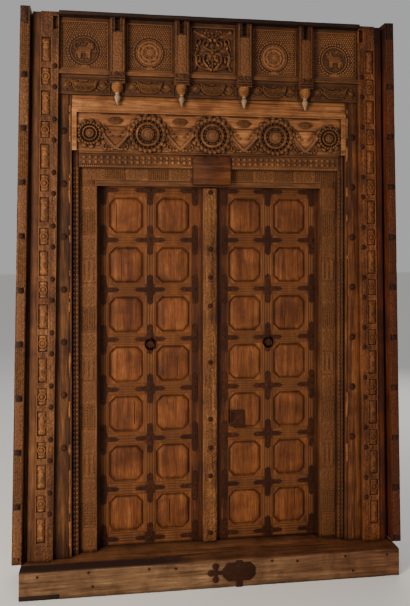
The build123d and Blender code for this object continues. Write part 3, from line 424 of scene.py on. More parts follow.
def make_finishes():
    """Every finish, by name."""
    red = ((0.022, 0.005, 0.0009), (0.07, 0.0183, 0.0036), (0.15, 0.047, 0.0102))
    brown = ((0.024, 0.0076, 0.0018), (0.072, 0.0245, 0.006), (0.145, 0.056, 0.0158))
    ridge = ((0.022, 0.0056, 0.0012), (0.066, 0.0195, 0.0045), (0.145, 0.05, 0.0128))
    amber = ((0.046, 0.0126, 0.0029), (0.138, 0.0405, 0.0096), (0.255, 0.09, 0.025))
    olive = ((0.045, 0.0158, 0.0046), (0.132, 0.0483, 0.0149), (0.246, 0.1, 0.034))
    tan = ((0.036, 0.0118, 0.0034), (0.104, 0.0372, 0.0115), (0.19, 0.076, 0.026))
    honey = ((0.072, 0.0245, 0.007), (0.2, 0.0745, 0.0235), (0.345, 0.147, 0.052))
    wheat = ((0.1, 0.035, 0.0105), (0.265, 0.102, 0.0335), (0.43, 0.188, 0.069))
    straw = ((0.056, 0.0184, 0.0049), (0.157, 0.0565, 0.0162), (0.285, 0.116, 0.037))
    dusk = ((0.026, 0.0068, 0.0013), (0.07, 0.0188, 0.0038), (0.13, 0.04, 0.009))
    # Near-black: on the crown cap and the medallions' rings it is painted shade, round the post nails a rust
    # stain, and in the sill's notch a dark fill
    near_black = ((0.008, 0.003, 0.0014), (0.018, 0.0068, 0.003), (0.036, 0.0138, 0.006))
    pale = ((0.06, 0.0275, 0.0113), (0.164, 0.084, 0.0375), (0.285, 0.161, 0.079))
    bone = ((0.17, 0.1, 0.05), (0.3, 0.19, 0.105), (0.4, 0.27, 0.16))
    orange = ((0.07, 0.0225, 0.0048), (0.165, 0.06, 0.0145), (0.275, 0.115, 0.033))
    lichen = ((0.032, 0.0132, 0.0036), (0.092, 0.038, 0.0112), (0.19, 0.085, 0.028))
    # Tints towards the right are painted light and shade, hollows are darkened with painted shade, and pale
    # edges are partly rubbing and partly a painted highlight
    return {
        "leaf_upright": make_wood("leaf_wood_upright", red, UPRIGHT_GRAIN, hollow=0.6),
        "leaf_level": make_wood("leaf_wood_level", red, LEVEL_GRAIN, hollow=0.6),
        "leaf_ridged": make_wood("leaf_ridged_wood", ridge, UPRIGHT_GRAIN, hollow=0.85, hollow_reach=0.007),
        "leaf_panel": make_wood("leaf_panel_wood", amber, UPRIGHT_GRAIN, 1.3, hollow=0.68,
                                hollow_reach=0.03, spread=0.16),
        "frame_upright": make_wood("frame_wood_upright", brown, UPRIGHT_GRAIN, spread=0.1,
                                   side_light_tint=(1.6, 1.35, 1.15)),
        "frame_level": make_wood("frame_wood_level", brown, LEVEL_GRAIN, top_dark=0.7),
        "warm_upright": make_wood("warm_wood_upright", tan, UPRIGHT_GRAIN, hollow_reach=0.02,
                                  side_light_tint=(0.72, 0.62, 0.5)),
        "warm_level": make_wood("warm_wood_level", tan, LEVEL_GRAIN, hollow_reach=0.02, top_dark=0.45),
        "astragal": make_wood("astragal_wood", straw, UPRIGHT_GRAIN, hollow_reach=0.014, stipple=0.4,
                              spread=0.12),
        "rail": make_wood("head_rail_wood", wheat, LEVEL_GRAIN),
        "cove": make_wood("cove_wood", tan, UPRIGHT_GRAIN, hollow=0.1, side_light_tint=RIGHT_SIDE_SHADE, top_dark=0.6),
        "pilaster": make_wood("pilaster_wood", olive, UPRIGHT_GRAIN, hollow_reach=0.02, stipple=0.35,
                              side_light_tint=(1.1, 0.88, 0.68), top_dark=0.6),
        "carved_upright": make_wood("carved_wood_upright", tan, UPRIGHT_GRAIN, hollow_reach=0.014,
                                    stipple=0.8, side_light_tint=RIGHT_SIDE_SHADE, top_dark=0.6),
        "jamb_carved": make_wood("jamb_carved_wood", brown, UPRIGHT_GRAIN, hollow_reach=0.014, stipple=0.8,
                                 edge_pale=0.45, side_light_tint=(0.85, 0.75, 0.65)),
        "carved_level": make_wood("carved_wood_level", tan, LEVEL_GRAIN, hollow_reach=0.014, stipple=0.35,
                                  edge_pale=0.5, side_light_tint=(1.5, 1.5, 1.5), top_dark=0.15),
        "boss_upright": make_wood("boss_wood_upright", straw, UPRIGHT_GRAIN, hollow_reach=0.014,
                                  stipple=0.12, edge_pale=0.3, side_light_tint=(0.72, 0.57, 0.44), top_dark=0.6),
        "boss_level": make_wood("boss_wood_level", honey, LEVEL_GRAIN, hollow=0.85, hollow_reach=0.02,
                                edge_pale=0.3),
        "frieze": make_frieze_wood(wheat),
        "rosette": make_wood("rosette_wood", olive, LEVEL_GRAIN, hollow=0.92, hollow_reach=0.02, edge_pale=0.3),
        "bead": make_wood("bead_wood", lichen, UPRIGHT_GRAIN, hollow_reach=0.014, side_light_tint=(0.62, 0.52, 0.42)),
        "dark_upright": make_wood("dark_wood_upright", dusk, UPRIGHT_GRAIN),
        "dark_level": make_wood("dark_wood_level", dusk, LEVEL_GRAIN),
        "cap": make_wood("cap_wood", near_black, LEVEL_GRAIN),
        "cup": make_wood("turned_cup_wood", orange, UPRIGHT_GRAIN, hollow_reach=0.02),
        "sill": make_sill_wood(pale),
        "drop": make_wood("pale_drop_wood", bone, UPRIGHT_GRAIN),
        "iron": make_iron(),
    }


FINISH = make_finishes()

# Finishes of the nodes whose names start so; the rest go by their slots
# The crown cap's near-black finish is painted shade
NODE_FINISHES = (
    ("sill_hasp", "iron"), ("sill", "sill"), ("pendant_drop", "drop"), ("crown_cap", "cap"),
    ("cove_strip", "cove"), ("plain_head_rail", "rail"), ("frieze_panel", "frieze"),
    ("inner_lintel", "warm_level"), ("bead_head", "warm_level"), ("medallion_panel", "warm_level"),
    ("outer_post", "carved_upright"), ("carved_pilaster", "pilaster"), ("inner_jamb", "warm_upright"),
    ("bracket", "carved_upright"), ("left_astragal_studs", "iron"), ("bead_strip_right", "warm_upright"),
    ("left_astragal", "astragal"),
)


def finish_name(node):
    """Finish of a CAD node, with the grain along the piece."""
    for start, finish in NODE_FINISHES:
        if node.startswith(start):
            return finish
    slot = SLOTS[node]
    low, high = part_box(node)
    if slot == "iron":
        return "iron"
    if node.endswith("rails"):
        return "leaf_level"
    if slot == "leaf_wood":
        return "leaf_upright"
    kind = "dark" if slot == "dark_wood" else "frame"
    return kind + ("_level" if high[0] - low[0] > high[2] - low[2] else "_upright")


FINISH_NAME = {name: finish_name(name) for name in NODES}


def dress_nodes():
    """Gives every CAD node its finish."""
    for name, node in NODES.items():
        node.data.materials.clear()
        node.data.materials.append(FINISH[FINISH_NAME[name]])


# Shape helpers: every piece is built in place, and the front of the door faces -Y

BEAD_LOT = 20
FRONT = Matrix.Rotation(math.radians(90), 4, "X")
QUARTER = {axis: Matrix.Rotation(math.radians(90), 3, axis) for axis in "XYZ"}


def keep(shape, name, body, finish, slot, *nodes, sharp=None):
    """Makes a piece of a bmesh: rides on a body, and stands for the CAD nodes that are named; the slot it is
    given is not used."""
    bmesh.ops.recalc_face_normals(shape, faces=shape.faces)
    mesh = bpy.data.meshes.new(name)
    shape.to_mesh(mesh)
    shape.free()
    mesh.materials.append(FINISH[finish])
    if sharp is not None:
        mesh.shade_smooth()
        mesh.set_sharp_from_angle(angle=math.radians(sharp))
    piece = bpy.data.objects.new(name, mesh)
    bpy.context.scene.collection.objects.link(piece)
    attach(piece, body)
    if nodes:
        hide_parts(*nodes)
    return piece


def pour(part, shape):
    """Adds one bmesh to another and frees it."""
    mesh = bpy.data.meshes.new("part")
    part.to_mesh(mesh)
    part.free()
    shape.from_mesh(mesh)
    bpy.data.meshes.remove(mesh)


def add_bead(shape, x, y, z, radius, rise, sides=8, rings=5, tall=1.0):
    """Low round bead on a face that looks to the front."""
    place = Matrix.Translation((x, y, z)) @ Matrix.Diagonal((radius, rise, radius * tall, 1.0)) @ FRONT
    bmesh.ops.create_uvsphere(shape, u_segments=sides, v_segments=rings, radius=1.0, matrix=place)


def add_beads(shape, beads):
    """Many beads, each a tuple of add_bead's values, built in small lots, which is quicker."""
    for start in range(0, len(beads), BEAD_LOT):
        part = bmesh.new()
        for bead in beads[start:start + BEAD_LOT]:
            add_bead(part, *bead)
        pour(part, shape)


def add_lathe(shape, x, y, z, profile, steps=32, upright=False):
    """Turned form: the profile lists (radius, height), with height to the front, or upward where it is
    upright."""
    part = bmesh.new()
    verts = []
    for radius, height in profile:
        place = (x + radius, y, z + height) if upright else (x + radius, y - height, z)
        verts.append(part.verts.new(place))
    edges = [part.edges.new(pair) for pair in zip(verts, verts[1:])]
    axis = (0.0, 0.0, 1.0) if upright else (0.0, 1.0, 0.0)
    bmesh.ops.spin(part, geom=verts + edges, cent=(x, y, z), axis=axis, angle=math.tau, steps=steps,
                   use_merge=True)
    bmesh.ops.remove_doubles(part, verts=part.verts, dist=0.0002)
    bmesh.ops.recalc_face_normals(part, faces=part.faces)
    pour(part, shape)


def add_petals(shape, x, y, z, count, inner, outer, width, rise, turn=0.0):
    """Ring of leaf-shaped lobes round a centre."""
    part = bmesh.new()
    for number in range(count):
        angle = turn + math.tau * number / count
        spin = Matrix.Rotation(-angle, 4, "Y")
        middle = (inner + outer) / 2
        place = Matrix.Translation((x, y, z)) @ spin @ Matrix.Translation((middle, 0.0, 0.0))
        size = Matrix.Diagonal(((outer - inner) / 2, rise, width / 2, 1.0))
        bmesh.ops.create_uvsphere(part, u_segments=8, v_segments=5, radius=1.0, matrix=place @ size @ FRONT)
    pour(part, shape)


def add_pearl_ring(shape, x, y, z, radius, count, size, rise):
    """Ring of small pearls round a centre."""
    part = bmesh.new()
    for number in range(count):
        angle = math.tau * number / count
        add_bead(part, x + radius * math.cos(angle), y, z + radius * math.sin(angle), size, rise, 6, 4)
    pour(part, shape)


def add_stem(shape, points, thickness, cyclic=False):
    """Round stem along one smooth line; a point's fourth value is its share of the thickness."""
    data = bpy.data.curves.new("stem", "CURVE")
    data.dimensions = "3D"
    data.bevel_depth = thickness
    data.bevel_resolution = 1
    data.resolution_u = 3
    data.use_fill_caps = True
    line = data.splines.new("NURBS")
    line.points.add(len(points) - 1)
    for point, place in zip(line.points, points):
        point.co = (*place[:3], 1.0)
        point.radius = place[3] if len(place) > 3 else 1.0
    line.use_cyclic_u = cyclic
    line.order_u = 3
    line.use_endpoint_u = not cyclic
    holder = bpy.data.objects.new("stem", data)
    mesh = bpy.data.meshes.new_from_object(holder)
    shape.from_mesh(mesh)
    bpy.data.objects.remove(holder)
    bpy.data.curves.remove(data)
    bpy.data.meshes.remove(mesh)


def spiral(x, y, z, radius, turns, start, sense, thin=0.45):
    """Points of a scroll that winds inward from its rim."""
    steps = max(6, round(turns * 9))
    points = []
    for step in range(steps + 1):
        share = step / steps
        angle = start + sense * turns * math.tau * share
        reach = radius * (1 - 0.82 * share)
        points.append((x + reach * math.cos(angle), y, z + reach * math.sin(angle), 1 - (1 - thin) * share))
    return points


def lattice(shape, low_x, high_x, low_z, high_z, y, cell, rise, style="diamond"):
    """Chip-carved ground on a flat face: a grid whose cells or crossings stand up, with its rim let into
    the face."""
    across = max(2, round((high_x - low_x) / cell / 2) * 2)
    along = max(2, round((high_z - low_z) / cell / 2) * 2)
    middle = ((low_x + high_x) / 2, y + 0.0004, (low_z + high_z) / 2)
    size = Matrix.Diagonal((high_x - low_x, high_z - low_z, 1.0, 1.0))
    place = Matrix.Translation(middle) @ FRONT @ size
    made = bmesh.ops.create_grid(shape, x_segments=across, y_segments=along, size=0.5, matrix=place)
    verts = made["verts"]
    if style == "pyramid":
        faces = list({face for vert in verts for face in vert.link_faces})
        bmesh.ops.poke(shape, faces=faces, offset=rise)
        return verts
    for vert in verts:
        if vert.is_boundary:
            continue
        column = round((vert.co.x - low_x) / (high_x - low_x) * across)
        row = round((vert.co.z - low_z) / (high_z - low_z) * along)
        lift = noise.noise(vert.co * 60.0) * 0.3 + 1.0
        if style == "diamond" and (column + row) % 2:
            vert.co.y -= rise * lift
        if style == "flute" and column % 2:
            vert.co.y -= rise * lift
        if style == "band" and row % 2:
            vert.co.y -= rise * lift
    return verts


def lean(verts, foot_shift):
    """Leans verts inward with height, as the outer strips of the frame do."""
    for vert in verts:
        vert.co.x += foot_shift * rise_share(vert.co.z)


def slice_at(shape, point, normal):
    """Cuts every face along a plane and keeps both sides."""
    geom = list(shape.verts) + list(shape.edges) + list(shape.faces)
    bmesh.ops.bisect_plane(shape, geom=geom, plane_co=point, plane_no=normal, dist=1e-6)


def soft_copy(name, width, axis=None, step=0.03, wear=0.0):
    """Copy of a CAD node with worn corners; slices along an axis let its edges wander inward."""
    shape = bmesh.new()
    shape.from_mesh(NODES[name].data)
    bmesh.ops.remove_doubles(shape, verts=shape.verts, dist=1e-5)
    bmesh.ops.dissolve_limit(shape, angle_limit=math.radians(2), verts=shape.verts, edges=shape.edges)
    corners = [edge for edge in shape.edges
               if len(edge.link_faces) == 2 and edge.calc_face_angle() > math.radians(25)]
    bmesh.ops.bevel(shape, geom=corners, offset=width, offset_type="OFFSET", affect="EDGES", segments=2,
                    profile=0.5, material=-1, clamp_overlap=True)
    if axis is not None:
        low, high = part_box(name)
        span = high[axis] - low[axis]
        direction = Vector((axis == 0, axis == 1, axis == 2))
        count = int(span / step)
        for number in range(1, count):
            cut = Vector(low) + direction * (span * number / count)
            slice_at(shape, cut, direction)
    if wear > 0:
        shape.normal_update()
        for vert in shape.verts:
            rough = noise.noise(vert.co * 31.0) * 0.6 + noise.noise(vert.co * 9.0) * 0.8
            chip = max(0.0, noise.noise(vert.co * 14.0 + Vector((3.1, 7.7, 1.3))) - 0.3) * 2.5
            vert.co -= vert.normal * wear * max(0.0, min(1.6, 0.5 + rough * 0.5 + chip))
    return shape


def soften(name, width, axis=None, step=0.03, wear=0.0):
    """Stands a worn copy in for a CAD node."""
    shape = soft_copy(name, width, axis, step, wear)
    keep(shape, name + "_worn", body_of(name), FINISH_NAME[name], SLOTS[name], name, sharp=35)


# Levels and edges of the frame at rest, as the CAD has them

SILL_TOP = 0.137
FRAME_TOP = 2.85
FRIEZE_Z = 2.16
PILASTER_LEAN = -0.031
OUTER_X = (0.943, 0.991)
OUTER_LEAN = -0.042
OUTER_Y = -0.102
PILASTER_Y = -0.077
PLAIN_Y = -0.052
BEAD_Y = -0.03
JAMB_Y = -0.002
FRIEZE_GROUND_Y = -0.038
LEAF_Y = 0.053
PANEL_Y = 0.055
PANEL_BACK_Y = 0.088
PANEL_SIZE = (0.1865, 0.1974)
PANEL_RIM = 0.003
PANEL_CLIP = 0.034
# Moulding from a panel's eight-sided edge inward: width of each step, and its rise to the front
PANEL_STEPS = ((0.0015, -0.003), (0.003, -0.0035), (0.0035, -0.0015), (0.002, 0.0035), (0.005, 0.0042),
               (0.011, 0.0028), (0.02, 0.0008))
ASTRAGAL_Y = 0.025
ASTRAGAL_CHEVRONS = ((0.21, 0.46), (0.5, 0.61), (0.66, 0.95), (1.02, 1.36), (1.41, 1.5), (1.55, 1.64),
                     (1.7, 1.94))
POCKET_PITCH = 0.262
FIRST_POCKET_Z = 0.158
# Nails of the posts: places across, and the form of each nail and stain: radius, rise, sides, rings,
# height to width
OUTER_NAIL_X = 0.967
PILASTER_NAIL_X = 0.8135
PILASTER_NAIL_SHIFT = 0.0515
PLAIN_NAIL_X = 0.744
NAIL_FORMS = {"outer": (0.0125, 0.0078, 10, 6), "pilaster": (0.0112, 0.0078, 10, 6),
              "plain": (0.0145, 0.0085, 12, 8)}
STAIN_FORMS = {"outer": (0.0136, 0.0009, 12, 4), "pilaster": (0.0128, 0.0009, 12, 4, 1.2),
               "plain": (0.0165, 0.0009, 12, 4, 1.15)}
ROSETTE_Z = 2.2465
ROSETTES = ((0.0, 0.09), (0.33, 0.09), (-0.33, 0.09), (0.619, 0.056), (-0.619, 0.056))
BRACKET_X = (-0.4815, -0.1605, 0.1605, 0.4815)
BAY_X = (-0.644, -0.321, 0.0, 0.321, 0.644)
MEDALLION_CENTRE_Z = 2.656
BAY_FACE_Y = -0.058
BAY_GROUND_Y = -0.052
RELIEF_Z = 2.481
# Rim of the boat on each relief board, in shares of its half length and height
BOAT_RIM = ((-1.0, 0.5), (-0.8, -0.25), (-0.4, -0.5), (0.4, -0.5), (0.8, -0.25), (1.0, 0.5), (0.55, 0.125),
            (-0.55, 0.125))
BRACKET_Y = -0.092
RAIL_Z = tuple(0.17 + 0.25743 * row for row in range(8))
PANEL_Z = tuple(0.2987 + 0.25743 * row for row in range(7))
MUNTIN_X = 0.3125
# Pull ring and its eye: place, radius and wire
RING_Y = 0.04
RING_Z = 1.17358
RING_RADIUS = 0.025
RING_WIRE = 0.0039
EYE_Y = 0.039
EYE_Z = 1.19971
EYE_RADIUS = 0.0082
EYE_WIRE = 0.0027
PANEL_X = (0.19125, 0.43375)
SIDES = (("left", -1), ("right", 1))


# Leaves

def make_panel_blank():
    """One panel at the origin: flush corners, a moulded eight-sided margin, and a field that swells like a
    cushion."""
    shape = bmesh.new()
    size = Matrix.Diagonal((PANEL_SIZE[0], PANEL_SIZE[1], 1.0, 1.0))
    bmesh.ops.create_grid(shape, x_segments=1, y_segments=1, size=0.5, matrix=FRONT @ size)
    shape.faces.ensure_lookup_table()
    face = shape.faces[0]
    bmesh.ops.inset_region(shape, faces=[face], thickness=PANEL_RIM, use_boundary=True, use_even_offset=True)
    half_x = PANEL_SIZE[0] / 2 - PANEL_RIM
    half_z = PANEL_SIZE[1] / 2 - PANEL_RIM
    for way_x in (-1, 1):
        for way_z in (-1, 1):
            corner = Vector((way_x * (half_x - PANEL_CLIP), 0.0, way_z * half_z))
            slice_at(shape, corner, (way_x, 0, way_z))
    face = min(shape.faces, key=lambda item: item.calc_center_median().length)
    for thickness, depth in PANEL_STEPS:
        bmesh.ops.inset_region(shape, faces=[face], thickness=thickness, depth=depth, use_boundary=True,
                               use_even_offset=True)
    for axis, count, span in ((Vector((1, 0, 0)), 22, PANEL_SIZE[0]), (Vector((0, 0, 1)), 12, PANEL_SIZE[1])):
        for number in range(1, count):
            cut = axis * span * (number / count - 0.5)
            slice_at(shape, cut, axis)
    rim = [edge for edge in shape.edges if edge.is_boundary]
    made = bmesh.ops.extrude_edge_only(shape, edges=rim)["geom"]
    back = [item for item in made if isinstance(item, bmesh.types.BMVert)]
    bmesh.ops.translate(shape, verts=back, vec=(0, PANEL_BACK_Y - PANEL_Y, 0))
    bmesh.ops.edgeloop_fill(shape, edges=[edge for edge in shape.edges if edge.is_boundary])
    return shape


def crack(shape, x, low_z, high_z, width, depth):
    """Open split along the grain."""
    for shift in (-width, 0.0, width):
        slice_at(shape, (x + shift, 0, 0), (1, 0, 0))
    for vert in shape.verts:
        if abs(vert.co.x - x) < width * 0.2 and low_z < vert.co.z < high_z:
            vert.co.y += depth


# Splits that show on the panels: side, row from the bottom, column from the middle, place across, low and
# high end
SPLITS = {
    (-1, 6, 1): (-0.052, -0.075, 0.06), (-1, 5, 1): (-0.026, -0.07, 0.055), (-1, 3, 0): (0.02, -0.06, 0.02),
    (-1, 2, 1): (0.04, -0.05, 0.06), (1, 6, 0): (0.03, -0.06, 0.03), (1, 4, 1): (-0.03, -0.07, 0.01),
    (1, 2, 0): (-0.04, -0.06, 0.05), (1, 0, 1): (0.025, -0.03, 0.07), (-1, 0, 0): (-0.02, -0.05, 0.05),
}


# Splits, adze marks and dents of the panels
SPLIT_WIDTH = 0.0022
SPLIT_DEPTH = 0.006
ADZE_DEPTH = 0.0007
DENT_DEPTH = 0.0016
FLUSH_SHARE = 0.95


def make_panels(side, sign):
    """Fourteen panels of a leaf, each with its own adze marks, dents and splits."""
    blank = make_panel_blank()
    shape = bmesh.new()
    for row, z in enumerate(PANEL_Z):
        for column, x in enumerate(PANEL_X):
            panel = blank.copy()
            if (sign, row, column) in SPLITS:
                across, low, high = SPLITS[(sign, row, column)]
                crack(panel, across, low, high, SPLIT_WIDTH, SPLIT_DEPTH)
            move = Vector((sign * x, PANEL_Y, z))
            for vert in panel.verts:
                spot = vert.co + move
                inside = max(2 * abs(vert.co.x) / PANEL_SIZE[0], 2 * abs(vert.co.z) / PANEL_SIZE[1])
                adze = noise.noise(Vector((spot.x * 95, 0.0, spot.z * 7))) * ADZE_DEPTH
                dent = noise.noise(spot * 16.0) * DENT_DEPTH
                vert.co = spot
                if inside < FLUSH_SHARE:
                    vert.co.y += adze + dent
            pour(panel, shape)
    blank.free()
    keep(shape, side + "_panel_fields", side + "_leaf", "leaf_panel", "leaf_wood", side + "_panels", sharp=28)


def add_flutes(shape, low_x, high_x, low_z, high_z, y, ridges, rise, level):
    """Fine parallel ridges scraped along a rail or a stile."""
    rows = ridges * 4
    size = Matrix.Diagonal((high_x - low_x, high_z - low_z, 1.0, 1.0))
    place = Matrix.Translation(((low_x + high_x) / 2, y + 0.0003, (low_z + high_z) / 2)) @ FRONT @ size
    segments = (12, rows) if level else (rows, 12)
    made = bmesh.ops.create_grid(shape, x_segments=segments[0], y_segments=segments[1], size=0.5,
                                 matrix=place)
    for vert in made["verts"]:
        if vert.is_boundary:
            continue
        share = (vert.co.z - low_z) / (high_z - low_z) if level else (vert.co.x - low_x) / (high_x - low_x)
        wave = (0.5 - 0.5 * math.cos(share * ridges * math.tau)) ** 0.6
        vert.co.y -= rise * wave * (1.0 + 0.4 * noise.noise(vert.co * 25.0))


# Half lengths, half widths and rises of the scraped ridges
RAIL_RIDGE_HALF = 0.093
RAIL_RIDGE_HALF_WIDTH = 0.027
RAIL_RIDGE_RISE = 0.0031
STILE_RIDGE_HALF = 0.098
STILE_RIDGE_RISE = 0.003
HINGE_RIDGE_X = 0.546
MUNTIN_RIDGE_HALF = 0.026
HINGE_RIDGE_HALF = 0.018


def make_flutes(side, sign):
    """Ridges on a leaf's rails, muntin and stiles."""
    shape = bmesh.new()
    for z in RAIL_Z:
        for x in PANEL_X:
            low, high = sorted((sign * (x - RAIL_RIDGE_HALF), sign * (x + RAIL_RIDGE_HALF)))
            add_flutes(shape, low, high, z - RAIL_RIDGE_HALF_WIDTH, z + RAIL_RIDGE_HALF_WIDTH, LEAF_Y, 4,
                       RAIL_RIDGE_RISE, True)
    for z in PANEL_Z:
        for x, half, ridges in ((MUNTIN_X, MUNTIN_RIDGE_HALF, 4), (HINGE_RIDGE_X, HINGE_RIDGE_HALF, 3)):
            low, high = sorted((sign * (x - half), sign * (x + half)))
            add_flutes(shape, low, high, z - STILE_RIDGE_HALF, z + STILE_RIDGE_HALF, LEAF_Y, ridges,
                       STILE_RIDGE_RISE, False)
    keep(shape, side + "_scraped_ridges", side + "_leaf", "leaf_ridged", "leaf_wood", sharp=40)


# Straps: an arm shorter than this has no point; worn edge, dents, and forms of the middle and arm nails
STRAP_POINTED_ARM = 0.05
STRAP_EDGE = 0.001
STRAP_DENT = 0.0004
STRAP_BOSS = (0.009, 0.003, 10, 6)
STRAP_NAIL = (0.0055, 0.0028, 8, 5)
STRAP_THICKNESS = 0.0036
STRAP_TIP = 0.016
STRAP_HALF_X = 0.0155
STRAP_HALF_Z = 0.0112


def add_strap(shape, x, z, arms):
    """Forged plate at a crossing: arms (left, right, down, up) run out to long points, each with a nail."""
    thickness, tip = STRAP_THICKNESS, STRAP_TIP
    half_width = {0: STRAP_HALF_X, 1: STRAP_HALF_Z}
    plate = bmesh.new()
    size = Matrix.Diagonal((2 * half_width[0], 2 * half_width[1], 1.0, 1.0))
    bmesh.ops.create_grid(plate, x_segments=1, y_segments=1, size=0.5, matrix=size)
    reach = {(-1, 0): arms[0], (1, 0): arms[1], (0, -1): arms[2], (0, 1): arms[3]}
    for edge in list(plate.edges):
        way = ((edge.verts[0].co + edge.verts[1].co) / 2).normalized()
        length = reach[(round(way.x), round(way.y))]
        if length <= 0:
            continue
        start = half_width[0] if abs(way.x) > 0.5 else half_width[1]
        runs = ((length - start - tip, 0.94), (tip * 0.45, 0.88), (tip * 0.35, 0.6), (tip * 0.2, 0.2))
        if length < STRAP_POINTED_ARM:
            runs = ((length - start, 1.0),)
        for run, share in runs:
            made = bmesh.ops.extrude_edge_only(plate, edges=[edge])["geom"]
            verts = [item for item in made if isinstance(item, bmesh.types.BMVert)]
            edges = [item for item in made if isinstance(item, bmesh.types.BMEdge)]
            edge = next(item for item in edges if set(item.verts) == set(verts))
            bmesh.ops.translate(plate, verts=verts, vec=way * run)
            middle = (verts[0].co + verts[1].co) / 2
            for vert in verts:
                vert.co = middle + (vert.co - middle) * share
    made = bmesh.ops.extrude_face_region(plate, geom=list(plate.faces))["geom"]
    top = [item for item in made if isinstance(item, bmesh.types.BMVert)]
    bmesh.ops.translate(plate, verts=top, vec=(0, 0, thickness))
    bmesh.ops.recalc_face_normals(plate, faces=plate.faces)
    rim = [edge for edge in plate.edges if edge.is_manifold and edge.calc_face_angle() > 1.0
           and min(edge.verts[0].co.z, edge.verts[1].co.z) > 0]
    bmesh.ops.bevel(plate, geom=rim, offset=STRAP_EDGE, offset_type="OFFSET", affect="EDGES", segments=1,
                    profile=0.5, material=-1)
    bmesh.ops.transform(plate, matrix=Matrix.Translation((x, LEAF_Y, z)) @ FRONT, verts=plate.verts)
    for vert in plate.verts:
        vert.co.y += noise.noise(vert.co * 40.0) * STRAP_DENT
    add_bead(plate, x, LEAF_Y - thickness, z, *STRAP_BOSS)
    for (way_x, way_z), length in reach.items():
        if length > STRAP_POINTED_ARM:
            run = length * 0.6
            add_bead(plate, x + way_x * run, LEAF_Y - thickness, z + way_z * run, *STRAP_NAIL)
    pour(plate, shape)


# Straps: arms, the short arms at the leaf's ends, and places across
STRAP_ARM = 0.078
STRAP_FOOT_ARM = 0.03
STRAP_HEAD_ARM = 0.0145
HINGE_STRAP_X = 0.552
MEETING_STRAP_X = 0.079


def make_straps(side, sign):
    """Iron crosses and tees of a leaf."""
    shape = bmesh.new()
    last = len(RAIL_Z) - 1
    arm = STRAP_ARM
    for row, z in enumerate(RAIL_Z):
        down = STRAP_FOOT_ARM if row == 0 else arm
        up = STRAP_HEAD_ARM if row == last else arm
        add_strap(shape, sign * MUNTIN_X, z, (arm, arm, down, up))
        inner = (0, arm) if sign > 0 else (arm, 0)
        outer = (arm, 0) if sign > 0 else (0, arm)
        add_strap(shape, sign * HINGE_STRAP_X, z, (*outer, down, up))
        add_strap(shape, sign * MEETING_STRAP_X, z, (*inner, down, up))
    keep(shape, side + "_forged_straps", side + "_leaf", "iron", "iron", side + "_straps", sharp=35)


def add_hoop(shape, centre, arm, wire, sides, turn, axis, steps):
    """Round wire bent to a closed hoop about an axis through its centre."""
    made = bmesh.ops.create_circle(shape, segments=sides, radius=wire)["verts"]
    bmesh.ops.rotate(shape, verts=made, cent=(0, 0, 0), matrix=turn)
    bmesh.ops.translate(shape, verts=made, vec=centre + arm)
    edges = list({edge for vert in made for edge in vert.link_edges})
    bmesh.ops.spin(shape, geom=made + edges, cent=centre, axis=axis, angle=math.tau, steps=steps,
                   use_merge=True)
    bmesh.ops.remove_doubles(shape, verts=shape.verts, dist=1e-5)


def make_ring(side, sign):
    """Pull ring of a leaf."""
    shape = bmesh.new()
    centre = Vector((sign * MUNTIN_X, RING_Y, RING_Z))
    add_hoop(shape, centre, Vector((RING_RADIUS, 0, 0)), RING_WIRE, 10, QUARTER["X"], (0, 1, 0), 40)
    keep(shape, side + "_pull_ring", side + "_ring", "iron", "iron", side + "_ring", sharp=60)


def make_eye(side, sign):
    """Eye that the ring hangs in."""
    shape = bmesh.new()
    centre = Vector((sign * MUNTIN_X, EYE_Y, EYE_Z))
    add_hoop(shape, centre, Vector((0, 0, EYE_RADIUS)), EYE_WIRE, 8, QUARTER["Z"] @ QUARTER["Y"], (1, 0, 0),
             24)
    keep(shape, side + "_pull_eye", side + "_leaf", "iron", "iron", side + "_ring_eye", sharp=60)


# Cover strip: its nails, the pitch, turn, size and two rows of its chips, and its worn edges
ASTRAGAL_NAIL = (0.0125, 0.008, 12, 8)
CHIP_PITCH = 0.0125
CHIP_TURN = 40
CHIP_SIZE = (0.019, 0.0024, 0.0042)
CHIP_ROWS = ((1, -0.02), (-1, -0.006))
ASTRAGAL_NAIL_Z = 0.186
ASTRAGAL_NAIL_PITCH = 0.2962
EXTRA_NAIL_Z = [0.63, 1.519]
ASTRAGAL_EDGE = 0.003
ASTRAGAL_STEP = 0.025
ASTRAGAL_WEAR = 0.0008


def make_astragal():
    """Cover strip with rows of chip-carved chevrons and domed nails."""
    shape = soft_copy("left_astragal", ASTRAGAL_EDGE, 2, ASTRAGAL_STEP, ASTRAGAL_WEAR)
    chips = bmesh.new()
    for low, high in ASTRAGAL_CHEVRONS:
        for number in range(int((high - low) / CHIP_PITCH)):
            z = low + CHIP_PITCH * number
            for way, x in CHIP_ROWS:
                turn = Matrix.Rotation(math.radians(CHIP_TURN * way), 4, "Y")
                place = Matrix.Translation((x, ASTRAGAL_Y, z)) @ turn
                size = Matrix.Diagonal((*CHIP_SIZE, 1.0))
                bmesh.ops.create_cube(chips, size=1.0, matrix=place @ size)
    pour(chips, shape)
    keep(shape, "astragal_worn", "left_leaf", "astragal", "leaf_wood", "left_astragal", sharp=35)
    studs = bmesh.new()
    for z in [ASTRAGAL_NAIL_Z + ASTRAGAL_NAIL_PITCH * number for number in range(7)] + EXTRA_NAIL_Z:
        add_bead(studs, 0.0, ASTRAGAL_Y, z, *ASTRAGAL_NAIL)
    keep(studs, "astragal_nails", "left_leaf", "iron", "iron", "left_astragal_studs", sharp=60)


# Frame

def rise_share(z):
    """Share of the frame's height over the sill."""
    return (z - SILL_TOP) / (FRAME_TOP - SILL_TOP)


